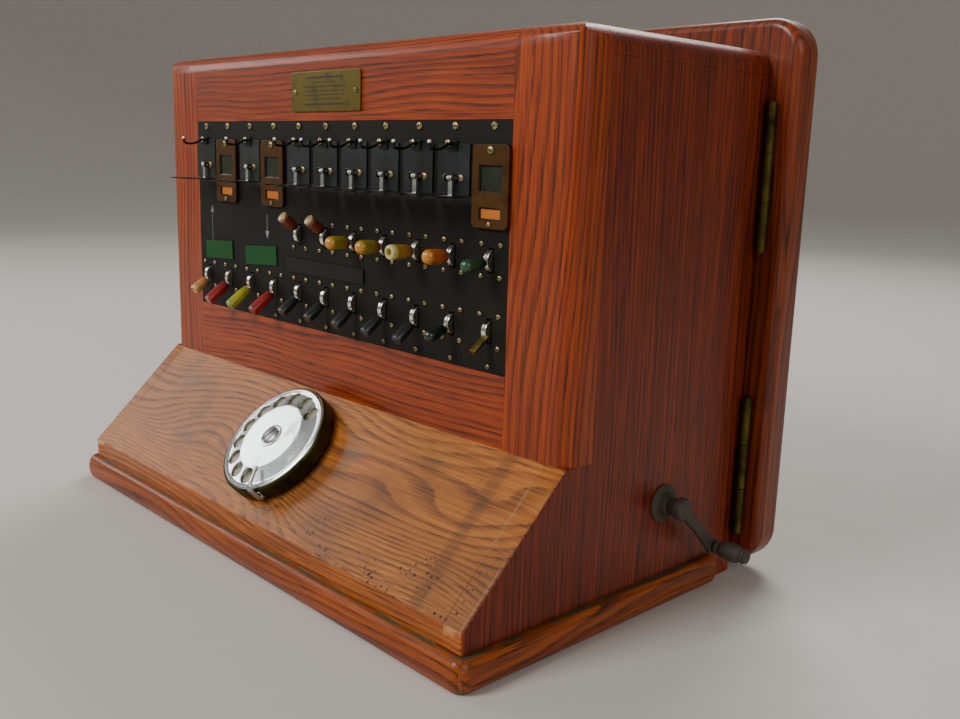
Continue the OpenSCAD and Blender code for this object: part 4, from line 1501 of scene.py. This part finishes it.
@dataclass
class Drops:
    """The drop indicators: plates, latches, shutters, covers, windows and coils."""

    arm_width: float = 3.2 * MM
    sheet: float = 0.8 * MM
    bend: float = 1.6 * MM
    notch_half: float = 2.6 * MM
    notch_deep: float = 7.8 * MM
    chamfer: float = 1.2 * MM
    pin_radius: float = 0.75 * MM
    pin_share: float = 0.368
    knuckle: tuple[Point, ...] = ((1.5, 0.0), (1.7, 0.3), (1.7, 3.3), (1.5, 3.6))
    tip_radius: float = 1.35 * MM
    cheek: float = 2 * MM

    def build(self) -> None:
        """Makes the row of indicators."""
        refine("drop_plates", CASE, PLATE_PAINT, 0.2 * MM)
        self.make_latches()
        for node, column in numbered("drop_flap_"):
            self.make_shutter(node, column)
        self.make_covers()
        self.make_coils()

    def make_latches(self) -> None:
        """Makes the hooked latch arms with their bright rounded tips."""
        arms, tips = [], []
        for bm in split(welded("drop_latches")):
            low, high = extent(bm)
            bm.free()
            x, z = high.x - 3 * MM, low.z + 4 * MM
            back, front = high.y, low.y
            foot = round_outline(8.5 * MM, 6 * MM, 1.2 * MM, 3)
            arms.append(slab(foot, 0.8 * MM, aim(Vector((x - 1.25 * MM, back, z - MM)), OUTWARD), 0.15 * MM))
            bends = ((back - 0.5 * MM, 0.0), (back - 4 * MM, -0.3), (back - 9 * MM, -3.2),
                     (front + 4 * MM, -3.4), (front + 0.9 * MM, -2.8), (front + 0.9 * MM, 0.2))
            path = smooth_path([Vector((x, y, z + rise * MM)) for y, rise in bends], 5)
            arms.append(sweep(path, [oval(2.3 * MM, 1.5 * MM, 3.0, 12)] * len(path), RIGHT))
            angles = [math.radians(a) for a in range(-60, 61, 20)]
            ball = [(self.tip_radius * math.cos(a), self.tip_radius * math.sin(a)) for a in angles]
            ball = [(0.0, -self.tip_radius), *ball, (0.0, self.tip_radius)]
            tips.append(lathe(ball, aim(Vector((x, front + 1.2 * MM, z + 0.5 * MM)), RIGHT, OUTWARD), 16))
        add_piece("drop_latches_made", joined(arms), CASE, LATCH_METAL, ("drop_latches",))
        add_piece("drop_latch_tips", joined(tips), CASE, NICKEL)

    def make_shutter(self, node: str, column: int) -> None:
        """Makes one fallen shutter: its pin, bent arm and notched plate.

        Args:
            node: The CAD node that it replaces.
            column: The column of the indicator.
        """
        low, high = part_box(node)
        pivot = Vector(joint(f"{node}_fall")["pos_m"])
        floor = low.z + self.sheet / 2
        bends = ((0.0, pivot.z - 0.2 * MM), (0.0, floor + self.bend), (0.0, floor), (self.bend, floor),
                 (6 * MM, floor))
        path = smooth_path([Vector((pivot.x, pivot.y - out, z)) for out, z in bends], 4)
        arm = sweep(path, [oval(self.arm_width, self.sheet, 6.0, 12)] * len(path), RIGHT)
        width, end = high.x - low.x, low.y - pivot.y
        half, notch, tab = width / 2, self.notch_half, self.chamfer
        right = [(half, -1.5 * MM), (half, end + tab), (half - tab, end), (notch + tab, end),
                 (notch, end + tab), (notch, end + self.notch_deep)]
        outline = [(-x, y) for x, y in right] + right[::-1]
        plate = slab(outline, self.sheet * 0.75, Matrix.Translation((pivot.x, pivot.y, low.z)), 0.15 * MM)
        for face in plate.faces:
            face.material_index = 1
        turned = []
        pin = [(self.pin_radius, 0.0), (self.pin_radius, width * self.pin_share)]
        for rings in (pin, in_metres(self.knuckle)):
            turned.append(lathe(rings, aim(pivot - RIGHT * rings[-1][1] / 2, RIGHT, UP), 16))
        add_piece(f"shutter_{column:02d}", joined([arm, plate, *turned]), node, FLAP_METAL, (node,),
                  extra=(FLAP_PLATE,))

    def make_covers(self) -> None:
        """Makes the three indicator covers with their panes and line cards."""
        refine("indicator_covers", CASE, COVER_BRASS, 0.45 * MM, 3)
        bezels = []
        for i, bm in enumerate(split(welded("indicator_windows"))):
            low, high = extent(bm)
            wide, tall = high.x - low.x, high.z - low.z
            glazed = tall > 10 * MM
            centre = Vector(((low.x + high.x) / 2, high.y, (low.z + high.z) / 2))
            bm.free()
            rise = high.y - low.y
            outline = round_outline(wide - 0.1 * MM, tall - 0.1 * MM, 0.4 * MM, 3)
            pane = slab(outline, rise, aim(centre, OUTWARD), 0.2 * MM)
            name, finish = ("indicator_pane", PANE_GLASS) if glazed else ("line_card", CARD)
            add_piece(f"{name}_{i + 1}", pane, CASE, finish, ("indicator_windows",))
            bezels.append(self.bezel(centre + OUTWARD * rise, wide, tall))
        add_piece("indicator_bezels", joined(bezels), CASE, LATCH_METAL)

    @staticmethod
    def bezel(centre: Vector, wide: float, tall: float) -> BMesh:
        """Makes the thin dark frame that holds a pane or card in its cover.

        Args:
            centre: The middle of its back, in metres.
            wide: Size along X, in metres.
            tall: Size along Z, in metres.

        Returns:
            The mesh of the frame.
        """
        band, rise = 0.7 * MM, 0.9 * MM
        outer = [(x * wide / 2, y * tall / 2) for x, y in ((1, 1), (-1, 1), (-1, -1), (1, -1))]
        inner = [(math.copysign(abs(x) - band, x), math.copysign(abs(y) - band, y)) for x, y in outer]
        bm = bmesh.new()
        rings = []
        for points, z in ((outer, 0.0), (outer, rise), (inner, rise * 0.5), (inner, 0.0)):
            rings.append([bm.verts.new((x, y, z)) for x, y in points])
        for lower, upper in zip(rings, rings[1:] + rings[:1]):
            for k in range(4):
                m = (k + 1) % 4
                bm.faces.new((lower[k], lower[m], upper[m], upper[k]))
        bmesh.ops.recalc_face_normals(bm, faces=bm.faces)
        bm.transform(aim(centre, OUTWARD))
        return bm

    def make_coils(self) -> None:
        """Makes the wound coils behind the panel, with dark end cheeks."""
        wires, cheeks = [], []
        for bm in split(welded("drop_coils")):
            low, high = extent(bm)
            bm.free()
            radius = (high.x - low.x) / 2
            seat = Vector(((low.x + high.x) / 2, low.y, (low.z + high.z) / 2))
            length, cheek, rim = high.y - low.y, self.cheek, 0.3 * MM
            place = aim(seat, -OUTWARD)
            wires.append(lathe([(radius - MM, cheek), (radius - MM, length - cheek)], place, 32))
            disc = [(radius - rim, 0.0), (radius, rim), (radius, cheek - rim), (radius - rim, cheek)]
            for start in (0.0, length - cheek):
                cheeks.append(lathe([(r, start + h) for r, h in disc], place, 32))
            core = [(3.2 * MM, length), (3.2 * MM, length + 0.8 * MM), (0.0, length + 1.4 * MM)]
            cheeks.append(lathe(core, place, 20))
        add_piece("coil_windings", joined(wires), CASE, COIL_WIRE, ("drop_coils",))
        add_piece("coil_cheeks", joined(cheeks), CASE, BAKELITE)


class Tip(Enum):
    """How the free end of a key's grip is shaped."""

    FLAT = "flat"
    DOME = "dome"
    HOLLOW = "hollow"
    CHIPPED = "chipped"


@dataclass(frozen=True)
class Grip:
    """One kind of key grip; sizes in millimetres from the key's axle."""

    length: float
    root: float
    tip: float
    end: Tip

    def profile(self, start: float) -> list[Point]:
        """Draws the grip from its root to its tip.

        Args:
            start: Distance from the axle to the grip's root, in millimetres.

        Returns:
            Radius and height of each ring, in metres.
        """
        length = self.length - start
        points = [(self.root * 0.72, 0.0), (self.root * 0.9, 0.35), (self.root, 1.1)]
        shoulder = length - self.tip * (0.95 if self.end is Tip.DOME else 0.35)
        for k in range(1, 7):
            t = k / 6
            swell = 0.06 * self.tip * math.sin(math.pi * t)
            points.append((self.root + (self.tip - self.root) * t + swell, 1.1 + (shoulder - 1.1) * t))
        if self.end is Tip.DOME:
            for angle in (20, 40, 60, 76):
                a = math.radians(angle)
                points.append((self.tip * math.cos(a), shoulder + (length - shoulder) * math.sin(a)))
            points.append((0.0, length))
        else:
            rim = length - shoulder
            points += [(self.tip - rim * 0.25, length - rim * 0.3), (self.tip - rim * 0.9, length)]
            if self.end is Tip.HOLLOW:
                bore = self.tip * 0.52
                points += [(bore + 0.2, length), (bore, length - 0.4), (bore * 0.9, length - 4.5),
                           (0.0, length - 4.8)]
            elif self.end is Tip.CHIPPED:
                points += [(self.tip * 0.5, length - 0.9), (0.0, length - 1.2)]
            else:
                points.append((0.0, length - 0.15))
        return in_metres(points)


SLIM = Grip(21.5, 2.8, 3.4, Tip.FLAT)
SLIM_DOME = Grip(21.5, 2.8, 3.4, Tip.DOME)
LONG = Grip(26.0, 3.2, 3.8, Tip.FLAT)
DOMED = Grip(22.5, 2.9, 3.6, Tip.DOME)
SHORT = Grip(20.0, 3.1, 3.7, Tip.FLAT)
SHORT_CHIPPED = Grip(20.0, 3.0, 3.6, Tip.CHIPPED)
STOUT = Grip(23.0, 3.6, 4.3, Tip.DOME)
STOUT_HOLLOW = Grip(23.0, 3.6, 4.3, Tip.HOLLOW)


@dataclass
class KeyBank:
    """The two rows of lever keys: nickel cams on axles, with turned grips."""

    cam_radius: float = 6.3
    cam_width: float = 3.4
    axle_radius: float = 1.2
    axle_length: float = 11.6
    stem_radius: float = 1.3
    bare_length: float = 17.0
    bare_radius: float = 2.0
    raised: float = 38.0
    lower: dict[int, tuple[Grip, Finish]] = field(default_factory=lambda: {
        1: (SHORT_CHIPPED, BROKEN_GRIP), 2: (LONG, RED_GRIP), 3: (LONG, LIME_GRIP), 4: (LONG, RED_GRIP),
        **{c: (SLIM, BLACK_GRIP) for c in (5, 6, 7, 8, 9)}, 10: (SLIM_DOME, DARK_GREEN_GRIP)})
    upper: dict[int, tuple[Grip, Finish]] = field(default_factory=lambda: {
        5: (SHORT, WORN_TIP_GRIP), 6: (SHORT, WORN_TIP_GRIP), 7: (STOUT, GREEN_AMBER_GRIP),
        8: (STOUT, GREEN_AMBER_GRIP), 9: (STOUT_HOLLOW, CREAM_GRIP), 10: (STOUT, AMBER_GRIP),
        11: (DOMED, GREEN_GRIP)})

    def build(self) -> None:
        """Makes every key of both rows."""
        for prefix, row in (("key_lower_", self.lower), ("key_upper_", self.upper)):
            for node, column in numbered(prefix):
                self.make_key(node, row.get(column))

    def make_key(self, node: str, fitted: tuple[Grip, Finish] | None) -> None:
        """Makes one key about its axle, thrown to its rest angle.

        Args:
            node: The CAD node that it replaces, which is also its body.
            fitted: Its grip and the grip's finish, or None for a bare stem.
        """
        throw = joint(f"{node}_throw")
        rest = self.raised - throw["range_deg"][1]
        pivot = Vector(throw["pos_m"])
        turned = Matrix.Translation(pivot) @ Matrix.Rotation(math.radians(-rest), 4, "X")
        to_side = turned @ Matrix.Rotation(math.radians(90), 4, "Y")
        forward = turned @ Matrix.Rotation(math.radians(90), 4, "X")
        half, axle, rim = self.cam_width / 2, self.axle_length / 2, 0.45
        side = [(self.axle_radius * 0.8, axle), (self.axle_radius, axle - 0.2), (self.axle_radius, half),
                (self.cam_radius - rim, half), (self.cam_radius - 0.12, half - 0.16),
                (self.cam_radius, half - rim)]
        cam = lathe(in_metres([(r, -h) for r, h in side] + side[::-1]), to_side, 48)
        # The cam's flat sides take the dark latch steel as painted shade; its rim keeps the bright nickel.
        for face in cam.faces:
            face.material_index = int(abs(face.normal.x) > 0.95)
        reach = self.bare_length if fitted is None else self.cam_radius + 1.4
        root = self.stem_radius if fitted else self.bare_radius
        stem = [(root * 1.2, self.cam_radius - 1.2), (root * 1.15, self.cam_radius + 0.3),
                (root, self.cam_radius + 1.2), (root, reach - 0.5), (root * 0.7, reach)]
        rod = lathe(in_metres(stem), forward, 24)
        for face in rod.faces:
            face.material_index = 0 if fitted else 2
        add_piece(f"{node}_lever", joined([cam, rod]), node, NICKEL, (node,),
                  extra=(LATCH_METAL, PLATE_BRASS))
        if fitted:
            grip, finish = fitted
            start = self.cam_radius + 1.0
            body = lathe(grip.profile(start), forward @ Matrix.Translation((0, 0, start * MM)), 28)
            slots = {s.material.name for s in FRAME["nodes"][node].material_slots if s.material}
            name = next(iter(sorted(s for s in slots if s.startswith("grip"))), "grip_black")
            add_piece(f"{node}_grip", body, node, finish, (node,))


@dataclass
class Dial:
    """The ten-hole dial on the desk: cup, number ring, finger wheel and stop."""

    radius: float = 38.0
    cup_radius: float = 39.5
    top: float = 14.2
    ring: float = 29.3
    hole: float = 5.3
    first: float = 52.0
    step: float = 25.0
    stop_angle: float = -63.0
    slot_angle: float = 64.0

    def build(self) -> None:
        """Makes the dial square to the desk."""
        turn = joint("dial_turn")
        self.place = aim(Vector(turn["pos_m"]), -Vector(turn["axis"]))
        self.make_cup()
        self.make_wheel()
        self.make_stop()

    def turned(self, rings: Sequence[Point], segments: int = 96, closed: bool = False) -> BMesh:
        """Turns a profile given in millimetres about the dial's axis.

        Args:
            rings: Radius and height of each ring, in millimetres.
            segments: How many sides the turning has.
            closed: True for a hollow piece.

        Returns:
            The mesh.
        """
        return lathe(in_metres(rings), self.place, segments, closed)

    def make_cup(self) -> None:
        """Makes the bronze cup and the enamelled number ring in its mouth."""
        r = self.cup_radius
        cup = [(0.0, 0.0), (r - 2.6, 0.0), (r - 1.2, 0.5), (r - 0.3, 1.7), (r, 3.2), (r, 10.4),
               (r - 0.25, 11.4), (r - 0.9, 12.0), (r - 1.7, 11.8), (r - 2.1, 11.0), (r - 2.3, 9.6),
               (3.2, 9.6), (3.2, 2.0), (0.0, 2.0)]
        add_piece("dial_cup", self.turned(cup), CASE, CUP_BRONZE, ("dial_case",))
        plate = [(4.4, 9.7), (36.8, 9.7), (36.8, 10.5), (36.2, 10.8), (5.0, 10.8), (4.4, 10.5)]
        add_piece("dial_number_ring", self.turned(plate, closed=True), CASE, NUMBER_ENAMEL,
                  ("dial_number_plate",))

    def make_wheel(self) -> None:
        """Makes the dished finger wheel with its ten holes, hub and slotted screw."""
        rim, top = self.radius, self.top
        section = [(0.0, top), (22.6, top), (24.0, top - 0.15), (25.6, top - 0.65), (33.6, top - 2.0),
                   (34.8, top - 2.05), (35.8, top - 1.6), (36.7, top - 1.45), (37.6, top - 1.8),
                   (rim, top - 2.5), (rim - 0.15, top - 3.1), (36.9, top - 3.0), (35.2, top - 3.05),
                   (33.4, top - 3.1), (25.0, top - 1.8), (23.4, top - 1.3), (3.0, top - 1.3), (3.0, 2.8),
                   (0.0, 2.8)]
        cutters = []
        bore = in_metres([(self.hole, 0.0), (self.hole, 15.0)])
        for i in range(10):
            angle = math.radians(self.first + i * self.step)
            at = Vector((self.ring * math.cos(angle), self.ring * math.sin(angle), 5)) * MM
            cutters.append(lathe(bore, Matrix.Translation(at), 40))
        bm = drilled(lathe(in_metres(section), Matrix(), 120), joined(cutters))
        soften(bm, 0.32 * MM, 2, 50)
        bm.transform(self.place)
        collar = self.turned([(8.2, top - 0.2), (8.2, top + 0.3), (7.9, top + 0.6), (7.0, top + 0.7),
                              (6.8, top + 0.2), (0.0, top + 0.2)], 64)
        add_piece("finger_wheel_made", joined([bm, collar]), "dial", WHEEL_METAL,
                  ("finger_wheel",), 30.0)
        spin = Matrix.Rotation(math.radians(self.slot_angle), 4, "Z")
        seat = self.place @ Matrix.Translation((0, 0, (top + 0.15) * MM)) @ spin
        add_piece("dial_centre_screw", slotted_head(6.2 * MM, 1.9 * MM, seat), "dial", STEEL)

    def make_stop(self) -> None:
        """Makes the curved finger stop that reaches over the wheel from the cup's side."""
        spin = Matrix.Rotation(math.radians(self.stop_angle), 4, "Z")
        out, over = self.cup_radius + 1.2, self.top + 1.6
        corners = [Vector((out, 0, 4.2)), Vector((out + 0.2, 0, over - 3.0)), Vector((out, 0, over + 0.2)),
                   Vector((out - 4.5, 0, over + 0.9)), Vector((self.ring + 1, 0, over + 0.4)),
                   Vector((self.ring - 4.6, 0, over + 0.1))]
        path = [self.place @ spin @ (p * MM) for p in smooth_path(corners, 5)]
        shares = [i / (len(path) - 1) for i in range(len(path))]
        sections = [oval((4.6 - 2.4 * t) * MM, (1.5 - 0.4 * t) * MM, 3.0, 14) for t in shares]
        side = (self.place @ spin).to_3x3() @ Vector((0, 1, 0))
        foot_at = self.place @ spin @ Matrix.Translation((self.cup_radius * MM, 0, 7.0 * MM))
        foot = aim(foot_at.translation, foot_at.to_3x3() @ RIGHT, side)
        pad = slab(round_outline(7.0 * MM, 6.5 * MM, 1.2 * MM), 0.9 * MM, foot, 0.2 * MM)
        screw_at = foot @ Matrix.Translation((2.0 * MM, -1.4 * MM, 0.85 * MM))
        parts = [sweep(path, sections, side), pad, slotted_head(1.5 * MM, 0.8 * MM, screw_at)]
        add_piece("finger_stop_made", joined(parts), CASE, STEEL, ("finger_stop",))


@dataclass
class Crank:
    """The ringing crank: escutcheon, boss, hub, arm and turned grip."""

    screw_ring: float = 8.9 * MM
    arm_thick: float = 4.0 * MM
    arm_widths: tuple[Point, ...] = (
        (0.0, 9.0), (0.12, 8.2), (0.3, 6.8), (0.5, 6.2), (0.7, 6.4), (0.86, 7.4), (1.0, 8.2),
    )
    grip_bore: float = 2.6 * MM
    grip_shape: tuple[Point, ...] = (
        (0.0, 0.62), (0.03, 0.72), (0.1, 0.74), (0.13, 0.62), (0.16, 0.6), (0.22, 0.78), (0.34, 0.93),
        (0.5, 1.0), (0.66, 0.96), (0.8, 0.84), (0.85, 0.68), (0.88, 0.66), (0.91, 0.78), (0.97, 0.78),
        (1.0, 0.68),
    )

    def build(self) -> None:
        """Makes the crank from its bush to its grip."""
        turn = joint("crank_turn")
        axis = Vector(turn["pos_m"])
        self.centre = Vector((0, axis.y, axis.z))
        self.make_escutcheon()
        self.make_arm()
        self.make_grip()

    @staticmethod
    def along_x(
        rings: Sequence[Point], centre: Vector, start: float, segments: int = 40, closed: bool = False,
    ) -> BMesh:
        """Turns a profile about a line along X.

        Args:
            rings: Radius and distance from the start of each ring, in millimetres.
            centre: A point on the line.
            start: The X that the distances are measured from, in metres.
            segments: How many sides the turning has.
            closed: True for a hollow piece.

        Returns:
            The mesh.
        """
        place = aim(Vector((start, centre.y, centre.z)), RIGHT, OUTWARD)
        return lathe(in_metres(rings), place, segments, closed)

    def make_escutcheon(self) -> None:
        """Makes the round plate, its boss and its three small screws."""
        low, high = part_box("crank_escutcheon")
        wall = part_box("right_side")[1].x
        radius, tail, tall = ((v / MM) for v in ((high.z - low.z) / 2, low.x - wall, high.x - wall))
        rings = [(5.9, tail), (5.9, 0.0), (radius - 0.5, 0.0), (radius, 0.5), (radius - 0.2, 1.2),
                 (radius - 1.2, 1.8), (7.4, 2.1), (6.9, 2.6), (6.5, tall - 0.6), (6.0, tall), (4.1, tall),
                 (4.1, tail)]
        parts = [self.along_x(rings, self.centre, wall, 56, True)]
        for k in range(3):
            angle = math.radians(90 + 120 * k)
            out = Vector((0, math.cos(angle), math.sin(angle))) * self.screw_ring
            at = self.centre + RIGHT * (wall + 1.7 * MM) + out
            slot_way = Vector((0, math.cos(k), math.sin(k)))
            parts.append(slotted_head(1.2 * MM, 0.8 * MM, aim(at, RIGHT, slot_way)))
        add_piece("crank_escutcheon_made", joined(parts), CASE, DARK_BRONZE,
                  ("crank_escutcheon",))

    def make_arm(self) -> None:
        """Makes the shaft, the collared hub and the tapered arm with its pin."""
        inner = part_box("crank_arm")[0].x
        grip_low, grip_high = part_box("crank_grip")
        handle = Vector(joint("crank_grip_spin")["pos_m"])
        end = Vector((0, handle.y, handle.z))
        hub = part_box("crank_escutcheon")[1].x + 1.5 * MM
        face = grip_low.x - 0.5 * MM
        long = (face - hub) / MM
        shaft = [(3.4, 0.0), (3.95, 0.6), (3.95, (hub - inner) / MM + 1.0)]
        collar = [(4.6, 0.0), (5.0, 0.5), (5.0, long - 6.4), (6.0, long - 5.8), (6.4, long - 4.8),
                  (6.4, long - 1.4), (5.8, long - 0.5), (4.4, long - 0.2), (3.2, long), (2.8, long + 0.4),
                  (0.0, long + 0.5)]
        eye = [(3.8, -4.6), (4.4, -4.0), (4.4, -1.2), (3.8, -0.5)]
        pin = [(2.4, (face - grip_high.x) / MM - 3.0), (2.4, 0.2)]
        cap = [(3.2, 0.25), (3.8, 0.5), (3.6, 1.1), (2.4, 1.6), (0.0, 1.75)]
        parts = [self.along_x(shaft, self.centre, inner), self.along_x(collar, self.centre, hub)]
        start = self.centre + RIGHT * (face - 2.8 * MM)
        path = [start + (end - self.centre) * t for t, _ in self.arm_widths]
        parts.append(sweep(path, [oval(self.arm_thick, w * MM, 3.2, 20) for _, w in self.arm_widths], RIGHT))
        parts += [self.along_x(eye, end, face), self.along_x(pin, end, grip_high.x, 20),
                  self.along_x(cap, end, grip_high.x, 28)]
        add_piece("crank_arm_made", joined(parts), "crank", DARK_BRONZE, ("crank_arm",))
        refine("drive_gear", "crank", WORKS_BRASS, 0.15 * MM, 1)

    def make_grip(self) -> None:
        """Makes the turned grip that spins on the arm's pin."""
        low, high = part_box("crank_grip")
        centre = (low + high) / 2
        length = high.x - low.x
        full = (high.z - low.z) / 2
        rings = [(full * r, length * t) for t, r in self.grip_shape]
        rings += [(self.grip_bore, length), (self.grip_bore, 0.0)]
        bm = lathe(rings, aim(Vector((low.x, centre.y, centre.z)), RIGHT, OUTWARD), 40, closed=True)
        add_piece("crank_grip_made", bm, "crank_handle", DARK_BRONZE, ("crank_grip",))


@dataclass
class InnerWorks:
    """What the back door hides: the generator, the key springs and the terminal strip."""

    def build(self) -> None:
        """Makes the works with softened edges and their own metals."""
        refine("generator_frame", CASE, WORKS_BRASS, 0.4 * MM)
        refine("generator_magnets", CASE, MAGNET_PAINT, 0.6 * MM)
        refine("generator_rotor", "rotor", STEEL, 0.15 * MM, 1)
        refine("key_spring_packs", CASE, SPRING_METAL, 0.08 * MM, 1)
        refine("terminal_strip", CASE, BAKELITE, 0.25 * MM)


def main() -> None:
    """Builds the studio and every sub-assembly, in order."""
    logging.basicConfig(level=logging.INFO, format="%(name)s: %(message)s")
    for kind in (Studio, OakCase, Hinges, FacePanel, Drops, KeyBank, Dial, Crank, InnerWorks):
        LOG.info("making %s", kind.__name__)
        kind().build()


if __name__ == "__main__":
    main()
